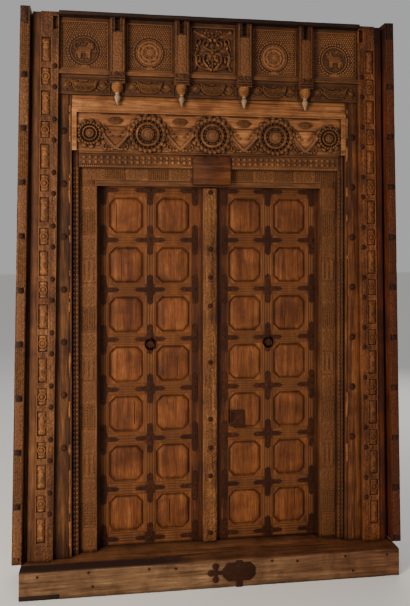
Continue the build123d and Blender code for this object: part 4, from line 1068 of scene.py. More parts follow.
def post_nails():
    """Kind of post, x, y and z of every nail in the posts."""
    for sign in (-1, 1):
        for number in range(1, 10):
            z = FIRST_POCKET_Z + POCKET_PITCH * number
            yield "outer", sign * (OUTER_NAIL_X + OUTER_LEAN * rise_share(z)), OUTER_Y, z
            for level in (z - PILASTER_NAIL_SHIFT, z + PILASTER_NAIL_SHIFT):
                x = PILASTER_NAIL_X + PILASTER_LEAN * rise_share(level)
                yield "pilaster", sign * x, PILASTER_Y, level
            if 2 <= number <= 8:
                yield "plain", sign * PLAIN_NAIL_X, PLAIN_Y, z


def make_post_marks(name, forms, finish, slot, *nodes):
    """Domed nails of the posts, or the rust-stained, slightly swollen wood round them."""
    shape = bmesh.new()
    for kind, x, y, z in post_nails():
        add_bead(shape, x, y, z, *forms[kind])
    keep(shape, name, "frame", finish, slot, *nodes, sharp=60)


# Beads of the bead strips: form, lowest place, pitch and count
STRIP_BEAD = (0.0062, 0.0052, 8, 5)
STRIP_BEAD_Z = 0.17
STRIP_BEAD_PITCH = 0.0232
STRIP_BEAD_COUNT = 83


def make_bead_rows():
    """Two rows of small beads up each bead strip."""
    shape = bmesh.new()
    for sign in (-1, 1):
        add_beads(shape, [(sign * x, BEAD_Y, STRIP_BEAD_Z + STRIP_BEAD_PITCH * number, *STRIP_BEAD)
                          for number in range(STRIP_BEAD_COUNT) for x in (0.681, 0.697)])
    keep(shape, "bead_rows", "frame", "bead", "dark_wood", sharp=60)


# Beads and pearls of the bead head: forms, first places, pitches and counts
HEAD_BEAD = (0.009, 0.008, 8, 6, 1.1)
HEAD_PEARL = (0.0044, 0.004, 6, 4)
HEAD_BEAD_X = 0.112
HEAD_BEAD_PITCH = 0.0297
HEAD_BEAD_COUNT = 19
HEAD_PEARL_X = 0.104
HEAD_PEARL_PITCH = 0.0101
HEAD_PEARL_COUNT = 56
HEAD_PEARL_Z = 2.0865


def make_bead_head_rows():
    """Two rows of round beads over a row of pearls along the bead head."""
    shape = bmesh.new()
    for sign in (-1, 1):
        add_beads(shape, [(sign * (HEAD_BEAD_X + HEAD_BEAD_PITCH * number), BEAD_Y, z, *HEAD_BEAD)
                          for number in range(HEAD_BEAD_COUNT) for z in (2.107, 2.13)])
        add_beads(shape, [(sign * (HEAD_PEARL_X + HEAD_PEARL_PITCH * number), BEAD_Y, HEAD_PEARL_Z,
                           *HEAD_PEARL)
                          for number in range(HEAD_PEARL_COUNT)])
    keep(shape, "bead_head_rows", "frame", "boss_level", "dark_wood", sharp=60)


# Jambs: edges, lowest place, pitch, height and count of the carved bands, with their styles, cells and rise,
# and the low and high edge, cells and rise of the tie over each band
JAMB_STYLES = ("diamond", "pyramid", "diamond", "flute")
JAMB_BAND_X = (0.592, 0.664)
JAMB_BAND_Z = 0.15
JAMB_BAND_PITCH = 0.123
JAMB_BAND_TALL = 0.108
JAMB_BANDS = 15
JAMB_CELL = 0.012
JAMB_RISE = 0.0045
TIE_LOW = 0.109
TIE_HIGH = 0.121
TIE_CELL = 0.006
TIE_RISE = 0.003
# Lintel: first place, pitch, edges, levels, cells and count of its bands, which stop at the centre block
LINTEL_BAND_X = -0.66
LINTEL_BAND_PITCH = 0.11
LINTEL_BAND_LOW = 0.002
LINTEL_BAND_HIGH = 0.108
LINTEL_BAND_Z = (2.02, 2.074)
LINTEL_CELL = 0.0105
LINTEL_BANDS = 12
LINTEL_CLEAR_X = 0.1


def make_jamb_carving():
    """Chip-carved bands on the jambs and the lintel."""
    shape = bmesh.new()
    for sign in (-1, 1):
        low, high = sorted(sign * x for x in JAMB_BAND_X)
        for band in range(JAMB_BANDS):
            z = JAMB_BAND_Z + JAMB_BAND_PITCH * band
            style = JAMB_STYLES[band % 4]
            lattice(shape, low, high, z, z + JAMB_BAND_TALL, JAMB_Y, JAMB_CELL, JAMB_RISE, style)
            lattice(shape, low, high, z + TIE_LOW, z + TIE_HIGH, JAMB_Y, TIE_CELL, TIE_RISE, "band")
    for band in range(LINTEL_BANDS):
        x = LINTEL_BAND_X + LINTEL_BAND_PITCH * band
        low, high = x + LINTEL_BAND_LOW, x + LINTEL_BAND_HIGH
        if abs((low + high) / 2) > LINTEL_CLEAR_X:
            lattice(shape, low, high, *LINTEL_BAND_Z, JAMB_Y, LINTEL_CELL, JAMB_RISE, JAMB_STYLES[band % 2])
    keep(shape, "jamb_carving", "frame", "jamb_carved", "frame_wood", sharp=20)


def make_outer_carving():
    """Chip-carved runs on the leaning outer posts, between their nails."""
    shape = bmesh.new()
    for sign in (-1, 1):
        low, high = sorted((sign * (OUTER_X[0] + 0.006), sign * (OUTER_X[1] - 0.006)))
        for number in range(0, 10):
            z = FIRST_POCKET_Z + POCKET_PITCH * number + 0.016
            top = min(z + POCKET_PITCH - 0.032, 2.83)
            style = ("diamond", "pyramid")[number % 2]
            verts = lattice(shape, low, high, z, top, OUTER_Y, 0.012, 0.0042, style)
            faces = {face for vert in verts if vert.is_valid for face in vert.link_faces}
            lean({vert for face in faces for vert in face.verts}, sign * OUTER_LEAN)
    keep(shape, "outer_post_carving", "frame", "carved_upright", "frame_wood", sharp=20)


# Ringed boss of a square pocket: radius and rise
BOSS_PROFILE = ((0.0205, -0.004), (0.0205, 0.003), (0.0185, 0.0055), (0.0155, 0.0055), (0.0135, 0.0012),
                (0.0118, 0.0012), (0.0092, 0.0055), (0.005, 0.0075), (0.0001, 0.008))


# Beads in the pilasters' pockets, and the lowest and highest pocket that has them
SQUARE_LOBE = (0.0165, 0.0065, 8, 5, 0.42)
TALL_LOBE = (0.0125, 0.0088, 10, 8, 3.5)
TALL_END = (0.019, 0.0085, 10, 6, 0.72)
TALL_KNOT = (0.0165, 0.0088, 10, 6, 0.5)
POCKET_X = 0.857
POCKET_TOP_Z = 2.66
POCKET_LOW_Z = 0.2
SQUARE_LOBE_SHIFT = 0.0325
TALL_END_SHIFT = 0.041
TALL_KNOT_SHIFT = 0.012


def make_pilaster_carving():
    """Ringed bosses in the square pockets and waisted lobes in the tall ones."""
    shape = bmesh.new()
    top = PILASTER_Y + 0.0025
    for sign in (-1, 1):
        for number in range(0, 10):
            z = FIRST_POCKET_Z + POCKET_PITCH * number
            for kind, level in (("square", z), ("tall", z + POCKET_PITCH / 2)):
                if level > POCKET_TOP_Z or level < POCKET_LOW_Z:
                    continue
                x = sign * (POCKET_X + PILASTER_LEAN * rise_share(level))
                if kind == "square":
                    add_lathe(shape, x, top, level, BOSS_PROFILE, 20)
                    for shift in (-SQUARE_LOBE_SHIFT, SQUARE_LOBE_SHIFT):
                        add_bead(shape, x, top + 0.001, level + shift, *SQUARE_LOBE)
                else:
                    add_bead(shape, x, top + 0.001, level, *TALL_LOBE)
                    for shift in (-TALL_END_SHIFT, TALL_END_SHIFT):
                        add_bead(shape, x, top + 0.001, level + shift, *TALL_END)
                    add_bead(shape, x, top, level + TALL_KNOT_SHIFT, *TALL_KNOT)
    keep(shape, "pilaster_bosses", "frame", "boss_upright", "frame_wood", sharp=50)


# Worn bead of the plain posts: lowest place, pitch and place across
WORN_BEAD_Z = 0.155
WORN_BEAD_PITCH = 0.015
WORN_BEAD_X = 0.7155


def make_worn_beads():
    """Broken pale bead along the inner edge of each plain post, more of it left on the left-hand post."""
    shape = bmesh.new()
    for sign, left in ((-1, 0.0), (1, 0.2)):
        for start in range(0, 150, 15):
            part = bmesh.new()
            for number in range(start, start + 15):
                z = WORN_BEAD_Z + WORN_BEAD_PITCH * number
                broad = noise.noise(Vector((sign * 4.0, z * 7.0, 1.7)))
                fine = noise.noise(Vector((0.3, z * 31.0, sign)))
                if broad + 0.4 * fine < left:
                    continue
                width = 0.0058 + 0.003 * noise.noise(Vector((2.2, z * 23.0, sign)))
                x = sign * (WORN_BEAD_X + 0.004 * noise.noise(Vector((7.1, z * 12.0, sign))))
                length = 2.4 + 2.0 * noise.noise(Vector((5.3, z * 41.0, sign)))
                add_bead(part, x, PLAIN_Y + 0.0012, z, width, 0.0052, 7, 5, length)
            pour(part, shape)
    keep(shape, "worn_post_beads", "frame", "astragal", "frame_wood", sharp=60)


# Turned rings of a rosette of full size: radius and rise
ROSETTE_PROFILE = ((0.063, 0.004), (0.061, 0.0135), (0.057, 0.016), (0.051, 0.016), (0.0485, 0.0135),
                   (0.047, 0.004), (0.036, 0.004), (0.034, 0.0125), (0.03, 0.015), (0.0255, 0.015),
                   (0.023, 0.008), (0.0175, 0.008), (0.0155, 0.0145), (0.009, 0.0175), (0.0001, 0.0175))


# Petals of a rosette of full size: lift, count, inner and outer radius, width and rise
ROSETTE_PETALS = ((0.004, 14, 0.036, 0.047, 0.0125, 0.009), (0.015, 6, 0.003, 0.014, 0.008, 0.005),
                  (0.0125, 22, 0.0735, 0.0955, 0.0205, 0.0075))
# Radius that the rosettes are drawn for, and the pearls of the border
ROSETTE_RADIUS = 0.09
BORDER_PEARL = (0.0044, 0.0038, 6, 4)
BORDER_PEARL_PITCH = 0.0105
BORDER_PEARL_Z = 2.357
BORDER_PEARLS = 64


def make_rosettes():
    """Deep rings, pearls and petals of the frieze's five rosettes, and the row of pearls on the border
    over them."""
    shape = bmesh.new()
    ground = FRIEZE_GROUND_Y
    for x, radius in ROSETTES:
        s = radius / ROSETTE_RADIUS
        add_lathe(shape, x, ground, ROSETTE_Z, [(r * s, h) for r, h in ROSETTE_PROFILE], 48)
        add_pearl_ring(shape, x, ground - 0.004, ROSETTE_Z, 0.0683 * s, 20, 0.0062 * s, 0.009)
        for lift, count, inner, outer, width, rise in ROSETTE_PETALS:
            add_petals(shape, x, ground - lift, ROSETTE_Z, count, inner * s, outer * s, width * s, rise)
    bmesh.ops.remove_doubles(shape, verts=shape.verts, dist=1e-6)
    add_beads(shape, [(BORDER_PEARL_PITCH * number, PLAIN_Y, BORDER_PEARL_Z,
                       *BORDER_PEARL) for number in range(-BORDER_PEARLS, BORDER_PEARLS + 1)])
    keep(shape, "frieze_rosettes", "frame", "rosette", "frame_wood", sharp=45)


# Stems of the frieze's vines: each stem's offset and thickness. For each point: whether it starts from the
# middle between two rosettes or from a rosette's edge, its distance from there, its height, its share of the
# offset and its share of the thickness
VINE_STEMS = ((0.0, 0.0042), (0.012, 0.003), (0.024, 0.0036))
VINE_POINTS = ((False, -0.016, ROSETTE_Z + 0.058, 1.0, 1.0), (False, 0.012, ROSETTE_Z + 0.012, 1.0, 1.0),
               (False, 0.035, 2.205, 0.6, 1.0), (True, 0.004, 2.181, 0.3, 1.0), (True, 0.03, 2.168, 0.0, 0.7))


# Lobes, leaves and curls of the vines
LOBE_SIZE = (0.0125, 0.011, 0.0165)
VINE_LEAF = (0.0085, 0.006, 8, 5, 0.7)
VALLEY_LEAF = (0.0095, 0.007, 8, 5, 0.75)
LOBE_TOP_Z = 2.346
LOBE_END_X = 0.68
LOBE_GAP = 0.0075
VALLEY_Z = 2.17
CURL_Z = 2.184
CURL_SHIFT = 0.022
CURL_FORM = (0.017, 1.1)


def make_frieze_vines():
    """Vines that ring the rosettes and dip between them, with leaves and curled tips."""
    shape = bmesh.new()
    y = FRIEZE_GROUND_Y - 0.004
    order = sorted(ROSETTES)
    for x, radius in ROSETTES:
        lobes = round(radius * 190)
        rim = radius + LOBE_GAP
        for number in range(lobes):
            angle = math.tau * (number + 0.5) / lobes
            place_z = ROSETTE_Z + rim * math.sin(angle)
            place_x = x + rim * math.cos(angle)
            if FRIEZE_Z + 0.006 < place_z < LOBE_TOP_Z and abs(place_x) < LOBE_END_X:
                turn = Matrix.Rotation(-angle, 4, "Y")
                size = Matrix.Diagonal((*LOBE_SIZE, 1.0))
                place = Matrix.Translation((place_x, y + 0.002, place_z)) @ turn @ size @ FRONT
                bmesh.ops.create_uvsphere(shape, u_segments=8, v_segments=5, radius=1.0, matrix=place)
    for (x, radius), (next_x, next_radius) in zip(order, order[1:]):
        middle = (x + radius + next_x - next_radius) / 2
        for start, sense, reach in ((x, 1, radius), (next_x, -1, next_radius)):
            edge = start + sense * reach
            for offset, thickness in VINE_STEMS:
                points = [((middle if late else edge) + sense * along, y, z - offset * share, swell)
                          for late, along, z, share, swell in VINE_POINTS]
                add_stem(shape, points, thickness)
            curl = spiral(edge + sense * CURL_SHIFT, y, CURL_Z, *CURL_FORM, math.pi / 2, sense)
            add_stem(shape, curl, 0.004)
            for share in range(4):
                leaf_x = edge + sense * (0.006 + 0.013 * share)
                leaf_z = ROSETTE_Z + 0.036 - 0.017 * share
                add_bead(shape, leaf_x + sense * 0.008, y + 0.002, leaf_z + 0.006, *VINE_LEAF)
        for way in (-1, 1):
            for share in range(3):
                add_bead(shape, middle + way * (0.016 + 0.017 * share), y + 0.001, VALLEY_Z, *VALLEY_LEAF)
    keep(shape, "frieze_vines", "frame", "rosette", "frame_wood", sharp=60)


# Spread leaves: levels of the leaf and of the scored lines, and thickness of veins and lines
SPREAD_LEAF_Z = 2.313
VEIN_THICKNESS = 0.0022
SCORED_LINE = 0.0026
SCORED_Z = (2.284, 2.345)


def make_frieze_leaves():
    """Low spread leaf with veins over each dip of the vines, and the scored line under it."""
    shape = bmesh.new()
    y = FRIEZE_GROUND_Y - 0.001
    order = sorted(ROSETTES)
    for (x, radius), (next_x, next_radius) in zip(order, order[1:]):
        middle = (x + radius + next_x - next_radius) / 2
        half = ((next_x - next_radius) - (x + radius)) / 2
        add_bead(shape, middle, y, SPREAD_LEAF_Z, 0.5 * half, 0.006, 16, 8, 0.55)
        for way in (-1, 1):
            for share in range(3):
                tip_x = middle + way * half * (0.2 + 0.16 * share)
                vein = [(middle + way * 0.004, y - 0.005, 2.3), (tip_x, y - 0.005, 2.31),
                        (tip_x, y - 0.003, 2.331 - 0.006 * share)]
                add_stem(shape, vein, VEIN_THICKNESS)
        for z in SCORED_Z:
            add_stem(shape, [(middle - half, y, z), (middle, y, z), (middle + half, y, z)], SCORED_LINE)
    keep(shape, "frieze_leaves", "frame", "frame_level", "frame_wood", sharp=60)


# Ring round a medallion: radius and rise
BAY_RING_PROFILE = ((0.0708, -0.006), (0.07, 0.002), (0.0682, 0.0042), (0.066, 0.0042), (0.0644, 0.002),
                    (0.0638, -0.006))


# Bays: the bay whose ground is foliage, and radius, count, size and rise of the pearls round a medallion
FOLIAGE_BAY = 2
BAY_PEARLS = (0.0805, 34, 0.0056, 0.0055)
# Stepped foot: half width and how it shrinks, height and how it rises, and thickness
FOOT_REACH = 0.036
FOOT_SHRINK = 0.011
FOOT_Z = 2.565
FOOT_RISE = 0.0075
FOOT_THICKNESS = 0.0048
# Stipple: margins, rows and pitches, and what it keeps clear of
STIPPLE_MARGIN = 0.014
STIPPLE_START = 0.006
STIPPLE_END = 0.003
STIPPLE_ROWS = 23
STIPPLE_Z = 2.5655
STIPPLE_LEVEL = 0.0102
STIPPLE_PITCH = 0.0115
RING_CLEAR = 0.0905
FOOT_CLEAR_X = 0.046
FOOT_CLEAR_Z = 2.594


def make_crown_grounds():
    """Stippled grounds and dotted circles of the crown bays, with the stepped foot under each ring."""
    shape = bmesh.new()
    for number, x in enumerate(BAY_X):
        low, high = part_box("medallion_panel_" + str(number + 1))
        half = min(x - low[0], high[0] - x) - STIPPLE_MARGIN
        if number == FOLIAGE_BAY:
            continue
        add_pearl_ring(shape, x, BAY_GROUND_Y, MEDALLION_CENTRE_Z, *BAY_PEARLS)
        add_lathe(shape, x, BAY_GROUND_Y, MEDALLION_CENTRE_Z, BAY_RING_PROFILE, 40)
        for step in range(3):
            reach = FOOT_REACH - FOOT_SHRINK * step
            z = FOOT_Z + FOOT_RISE * step
            line = [(x - reach, BAY_GROUND_Y, z), (x, BAY_GROUND_Y - 0.001, z), (x + reach, BAY_GROUND_Y, z)]
            add_stem(shape, line, FOOT_THICKNESS)
        for row in range(STIPPLE_ROWS):
            z = STIPPLE_Z + STIPPLE_LEVEL * row
            part = bmesh.new()
            for column in range(int(2 * half / STIPPLE_PITCH)):
                place = x - half + STIPPLE_START + STIPPLE_PITCH * (column + 0.5 * (row % 2))
                clear = math.hypot(place - x, z - MEDALLION_CENTRE_Z) > RING_CLEAR
                clear = clear and (z > FOOT_CLEAR_Z or abs(place - x) > FOOT_CLEAR_X)
                if clear and place < x + half - STIPPLE_END:
                    size = 0.0052 + 0.0008 * noise.noise(Vector((place * 80, row, 0.0)))
                    add_bead(part, place, BAY_GROUND_Y, z, size, 0.0045, 5, 4)
            pour(part, shape)
    keep(shape, "crown_stipple", "frame", "carved_level", "frame_wood", sharp=60)


# Worn beast of an end medallion, facing right, in shares of the disc's radius: a limb's points and its
# thickness
BEAST_LIMBS = (
    (((-0.5, 0.0), (-0.2, 0.12), (0.15, 0.05), (0.36, 0.16)), 0.21),
    (((0.3, 0.12), (0.42, 0.38), (0.55, 0.5), (0.74, 0.4)), 0.13),
    (((0.34, -0.02), (0.4, -0.3), (0.3, -0.5), (0.44, -0.64)), 0.085),
    (((0.22, -0.02), (0.14, -0.32), (0.2, -0.5), (0.1, -0.64)), 0.08),
    (((-0.5, -0.04), (-0.36, -0.3), (-0.52, -0.46), (-0.36, -0.64)), 0.09),
    (((-0.56, -0.02), (-0.64, -0.26), (-0.74, -0.42), (-0.62, -0.58)), 0.08),
    (((-0.58, 0.08), (-0.86, 0.2), (-0.74, 0.62), (-0.34, 0.62), (-0.36, 0.4)), 0.055),
    (((0.4, 0.5), (0.3, 0.74), (0.06, 0.66), (0.04, 0.44)), 0.06),
)


# Disc of an end medallion, and its pearls and curls
BEAST_DISC = 0.063
BEAST_PEARL_RING = 0.057
BEAST_CURL_RING = 0.043
BEAST_CURL = 0.0024


def make_beast(number, facing):
    """Rounded limbs of the beast in an end medallion, with a curled tail and mane."""
    shape = bmesh.new()
    x = BAY_X[number - 1]
    radius = BEAST_DISC
    y = BAY_GROUND_Y - 0.0045
    for line, thickness in BEAST_LIMBS:
        points = [(x + facing * u * radius, y, MEDALLION_CENTRE_Z + v * radius, 1.0 - 0.35 * step / len(line))
                  for step, (u, v) in enumerate(line)]
        add_stem(shape, points, thickness * radius)
    for vert in shape.verts:
        vert.co.y = y + (vert.co.y - y) * 0.6
    add_bead(shape, x + facing * 0.6 * radius, y, MEDALLION_CENTRE_Z + 0.48 * radius, 0.011, 0.008, 10, 6)
    add_pearl_ring(shape, x, BAY_GROUND_Y, MEDALLION_CENTRE_Z, BEAST_PEARL_RING, 30, 0.0035, 0.003)
    for angle in range(20, 360, 40):
        turn = math.radians(angle)
        curl = spiral(x + BEAST_CURL_RING * math.cos(turn), BAY_GROUND_Y - 0.001,
                      MEDALLION_CENTRE_Z + BEAST_CURL_RING * math.sin(turn), 0.011, 1.0,
                      turn, facing)
        add_stem(shape, curl, BEAST_CURL)
    keep(shape, "beast_" + str(number), "frame", "frame_level", "frame_wood", sharp=60)


# Dark rings of painted shade in the grooves of a beast's and of a lotus medallion: inner and outer radius;
# and their depth and rise
BEAST_SHADE_RINGS = ((0.0712, 0.0768), (0.0575, 0.0635))
LOTUS_SHADE_RINGS = ((0.0712, 0.0768), (0.0618, 0.0645), (0.0432, 0.0478), (0.0245, 0.0318))
SHADE_RING_FOOT = 0.002
SHADE_RING_RISE = 0.0011


def make_dark_rings():
    """Dark rings of painted shade in the grooves round the rings of the medallions."""
    shape = bmesh.new()
    y = BAY_GROUND_Y
    for number, x in enumerate(BAY_X):
        if number == FOLIAGE_BAY:
            continue
        for inner, outer in BEAST_SHADE_RINGS if number in (0, 4) else LOTUS_SHADE_RINGS:
            profile = ((outer, -SHADE_RING_FOOT), (outer, SHADE_RING_RISE), (inner, SHADE_RING_RISE), (inner, -SHADE_RING_FOOT))
            add_lathe(shape, x, y, MEDALLION_CENTRE_Z, profile, 48)
    keep(shape, "medallion_painted_shade", "frame", "cap", "frame_wood", sharp=45)


# Turned rings of a lotus: radius and rise
LOTUS_PROFILE = ((0.062, -0.002), (0.062, 0.002), (0.058, 0.0045), (0.05, 0.0045), (0.047, 0.0008),
                 (0.044, 0.0008), (0.0415, 0.005), (0.037, 0.006), (0.0335, 0.005), (0.031, 0.001),
                 (0.025, 0.001), (0.0225, 0.0055), (0.0195, 0.0055), (0.0175, 0.0025), (0.008, 0.003),
                 (0.0065, 0.008), (0.0001, 0.0095))


def make_lotus(number):
    """Turned rings and petals of a lotus medallion."""
    shape = bmesh.new()
    x = BAY_X[number - 1]
    y = BAY_GROUND_Y
    add_lathe(shape, x, y, MEDALLION_CENTRE_Z, LOTUS_PROFILE, 48)
    add_petals(shape, x, y - 0.002, MEDALLION_CENTRE_Z, 8, 0.0075, 0.0185, 0.008, 0.0055)
    add_pearl_ring(shape, x, y - 0.004, MEDALLION_CENTRE_Z, 0.054, 26, 0.0036, 0.003)
    add_petals(shape, x, y, MEDALLION_CENTRE_Z, 14, 0.0225, 0.0335, 0.0085, 0.0055)
    keep(shape, "lotus_rings_" + str(number), "frame", "carved_level", "frame_wood", sharp=45)


# Foliage of the middle bay, right half, in shares of its half width: a line's points, its thickness, and a
# bud at its end
FOLIAGE_LINES = (
    (((0.04, -0.92), (0.34, -0.7), (0.5, -0.36), (0.36, -0.1), (0.12, -0.16), (0.1, -0.4), (0.26, -0.46)),
     0.075, 0.09),
    (((0.06, -0.86), (0.6, -0.86), (0.9, -0.5), (0.8, -0.2), (0.58, -0.28), (0.66, -0.5)), 0.07, 0.09),
    (((0.92, -0.9), (0.72, -0.62), (0.92, -0.2), (0.66, 0.1), (0.9, 0.36), (0.74, 0.6), (0.56, 0.46),
      (0.66, 0.3)), 0.075, 0.1),
    (((0.05, 0.0), (0.4, 0.1), (0.52, 0.34), (0.3, 0.5), (0.16, 0.34), (0.3, 0.24)), 0.075, 0.09),
    (((0.06, 0.42), (0.32, 0.66), (0.66, 0.72), (0.92, 0.88)), 0.07, 0.1),
    (((0.0, -0.9), (0.0, -0.4), (0.0, 0.2)), 0.06, 0.0),
)


# Three-lobed leaves of the foliage, right half: place in shares of the half width and height, and turn
FOLIAGE_LEAVES = ((0.3, 0.86, 0.5), (0.84, 0.14, 1.2), (0.2, -0.66, 2.6), (0.9, -0.34, 0.2),
                  (0.48, 0.78, 2.2))
# Lobes of a leaf, of the flower over the middle and of the heart under it: count, inner and outer radius,
# width and rise
FOLIAGE_LEAF = (3, 0.002, 0.017, 0.01, 0.009)
FOLIAGE_FLOWER = (5, 0.006, 0.03, 0.017, 0.01)
FOLIAGE_HEART = (3, 0.0, 0.026, 0.019, 0.011)
FLOWER_SHIFT = 0.07
HEART_SHIFT = 0.02
# Foliage square: half width, half height, middle, and form of its flower's eye
FOLIAGE_HALF = 0.102
FOLIAGE_TALL = 0.11
FOLIAGE_Z = 2.68
FOLIAGE_EYE = (0.009, 0.012, 10, 6)


def make_foliage():
    """Scrolled foliage square of the middle bay."""
    shape = bmesh.new()
    half, tall, middle = FOLIAGE_HALF, FOLIAGE_TALL, FOLIAGE_Z
    y = BAY_GROUND_Y - 0.0005
    for line, thickness, bud in FOLIAGE_LINES:
        for sign in (-1, 1):
            points = [(sign * u * half, y, middle + v * tall, 1.0 - 0.4 * step / len(line))
                      for step, (u, v) in enumerate(line)]
            add_stem(shape, points, thickness * half)
            if bud:
                u, v = line[-1]
                add_bead(shape, sign * u * half, y, middle + v * tall, bud * half, 0.01, 10, 6)
    for sign in (-1, 1):
        for u, v, turn in FOLIAGE_LEAVES:
            add_petals(shape, sign * u * half, y, middle + v * tall, *FOLIAGE_LEAF, sign * turn)
    add_petals(shape, 0.0, y, middle + FLOWER_SHIFT, *FOLIAGE_FLOWER, math.pi / 2)
    add_bead(shape, 0.0, y, middle + FLOWER_SHIFT, *FOLIAGE_EYE)
    add_petals(shape, 0.0, y, middle - HEART_SHIFT, *FOLIAGE_HEART, math.pi / 2)
    keep(shape, "foliage_scrolls", "frame", "carved_level", "frame_wood", sharp=60)


# Relief boards: forms of leaves, buds and flowers, places of the flowers, the vine, and size of the boat
RELIEF_LEAF = (0.0095, 0.006, 8, 5, 0.6)
RELIEF_SMALL_LEAF = (0.0075, 0.006, 8, 5, 0.7)
RELIEF_BUD = (0.0062, 0.007, 8, 5)
BOAT_LEAF = (0.0062, 0.0045, 8, 5, 0.7)
FLOWER_EYE = (0.003, 0.006, 6, 4)
FLOWER_PETALS = (6, 0.0022, 0.0112, 0.0072, 0.0055)
BOAT_FLOWERS = ((-0.034, -0.01), (-0.012, -0.015), (0.012, -0.014), (0.034, -0.01))
RELIEF_STEM = 0.0045
BOAT_HALF = 0.064
BOAT_HEIGHT = 0.058
BOAT_RIM_THICKNESS = 0.0036
RELIEF_END_X = 0.752
RELIEF_MARGIN = 0.014
RELIEF_VINE_Y = -0.06
BOAT_Y = -0.067


def make_relief_vines():
    """Running vine with curled shoots on the five boards under the bays, and a rimmed boat of flowers on
    each."""
    shape = bmesh.new()
    y = RELIEF_VINE_Y
    boat_y = BOAT_Y
    for number, x in enumerate(BAY_X):
        low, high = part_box("relief_panel_" + str(number + 1))
        low_x = max(low[0], -RELIEF_END_X) + RELIEF_MARGIN
        high_x = min(high[0], RELIEF_END_X) - RELIEF_MARGIN
        span = high_x - low_x
        waves = 4
        points = []
        for step in range(waves * 4 + 1):
            share = step / (waves * 4)
            points.append((low_x + span * share, y, RELIEF_Z + 0.019 * math.sin(share * waves * math.pi)))
        add_stem(shape, points, RELIEF_STEM)
        for wave in range(waves):
            centre = low_x + span * (wave + 0.5) / waves
            sense = 1 if wave % 2 else -1
            curl = spiral(centre, y, RELIEF_Z - sense * 0.006, 0.021, 1.3, sense * math.pi / 2, -sense)
            add_stem(shape, curl, RELIEF_STEM)
            add_bead(shape, centre, y, RELIEF_Z - sense * 0.006, *RELIEF_BUD)
            for shift in (-1, 1):
                side_x = centre + shift * span / waves / 2.3
                add_bead(shape, side_x, y + 0.001, RELIEF_Z + sense * 0.022, *RELIEF_LEAF)
                add_bead(shape, side_x, y + 0.001, RELIEF_Z - sense * 0.025, *RELIEF_SMALL_LEAF)
        rim = [(x + BOAT_HALF * u, boat_y, RELIEF_Z + BOAT_HEIGHT * v) for u, v in BOAT_RIM]
        add_stem(shape, rim, BOAT_RIM_THICKNESS, True)
        for shift, lift in BOAT_FLOWERS:
            add_petals(shape, x + shift, boat_y, RELIEF_Z + lift, *FLOWER_PETALS, shift * 40)
            add_bead(shape, x + shift, boat_y, RELIEF_Z + lift, *FLOWER_EYE)
        for shift in (-0.022, 0.0, 0.023):
            add_bead(shape, x + shift, boat_y, RELIEF_Z - 0.0015, *BOAT_LEAF)
    keep(shape, "relief_vines", "frame", "frame_level", "dark_wood", sharp=60)


# Turned cup: radius and height
CUP_PROFILE = ((0.012, 0.0), (0.017, 0.002), (0.0245, 0.011), (0.0288, 0.022), (0.0292, 0.031),
               (0.0262, 0.037), (0.0282, 0.04), (0.0282, 0.0445))


# Place of the cups
CUP_Y = -0.07
CUP_FOOT_Z = 2.447


def make_cups():
    """Round turned cups of the brackets."""
    shape = bmesh.new()
    for x in BRACKET_X:
        add_lathe(shape, x, CUP_Y, CUP_FOOT_Z, CUP_PROFILE, 28, True)
    keep(shape, "bracket_cups", "frame", "cup", "frame_wood", sharp=50)


# Carved field and fillets of the brackets
BRACKET_FIELD_HALF = 0.023
BRACKET_FIELD_Z = 2.548
BRACKET_FIELD_TOP = 2.742
BRACKET_FILLET_X = 0.029
BRACKET_FILLET_Z = (2.546, 2.65, 2.806)
BRACKET_FILLET = 0.0028


def make_bracket_carving():
    """Chip-carved field down each bracket's face, between two plain fillets."""
    shape = bmesh.new()
    for x in BRACKET_X:
        lattice(shape, x - BRACKET_FIELD_HALF, x + BRACKET_FIELD_HALF, BRACKET_FIELD_Z, BRACKET_FIELD_TOP,
                BRACKET_Y, 0.0095, 0.0034, "diamond")
        for side in (-BRACKET_FILLET_X, BRACKET_FILLET_X):
            add_stem(shape, [(x + side, BRACKET_Y, z) for z in BRACKET_FILLET_Z], BRACKET_FILLET)
    keep(shape, "bracket_carving", "frame", "carved_upright", "frame_wood", sharp=25)


# Levels and thickness of the bays' fillets
BAY_LOW_Z = 2.564
BAY_TOP_Z = 2.796
BAY_FILLET = 0.0032
BAY_MARGIN = 0.0115


def make_bay_fillets():
    """Thin raised fillet round the sunk ground of each crown bay."""
    shape = bmesh.new()
    for number, x in enumerate(BAY_X):
        low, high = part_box("medallion_panel_" + str(number + 1))
        half = min(x - low[0], high[0] - x) - BAY_MARGIN
        corners = ((x - half, BAY_LOW_Z), (x + half, BAY_LOW_Z), (x + half, BAY_TOP_Z), (x - half, BAY_TOP_Z))
        for (start_x, start_z), (end_x, end_z) in zip(corners, corners[1:] + corners[:1]):
            middle = ((start_x + end_x) / 2, BAY_FACE_Y, (start_z + end_z) / 2)
            add_stem(shape, [(start_x, BAY_FACE_Y, start_z), middle, (end_x, BAY_FACE_Y, end_z)], BAY_FILLET)
    keep(shape, "bay_fillets", "frame", "warm_level", "frame_wood", sharp=60)


# Turned drop: radius and height
DROP_PROFILE = ((0.0001, 0.062), (0.0105, 0.062), (0.011, 0.056), (0.0085, 0.052), (0.0135, 0.046),
                (0.0155, 0.04), (0.0145, 0.033), (0.0105, 0.022), (0.0065, 0.011), (0.004, 0.004),
                (0.0025, 0.001), (0.0001, 0.0))


# Height of the drops' tips
DROP_TIP_Z = 2.385


def make_drops():
    """Smooth turned drops under the brackets."""
    for number, x in enumerate(BRACKET_X):
        shape = bmesh.new()
        add_lathe(shape, x, CUP_Y, DROP_TIP_Z, DROP_PROFILE, 24, True)
        bmesh.ops.remove_doubles(shape, verts=shape.verts, dist=1e-6)
        keep(shape, "turned_drop_" + str(number + 1), "frame", "drop", "drop_wood",
             "pendant_drop_" + str(number + 1), sharp=50)


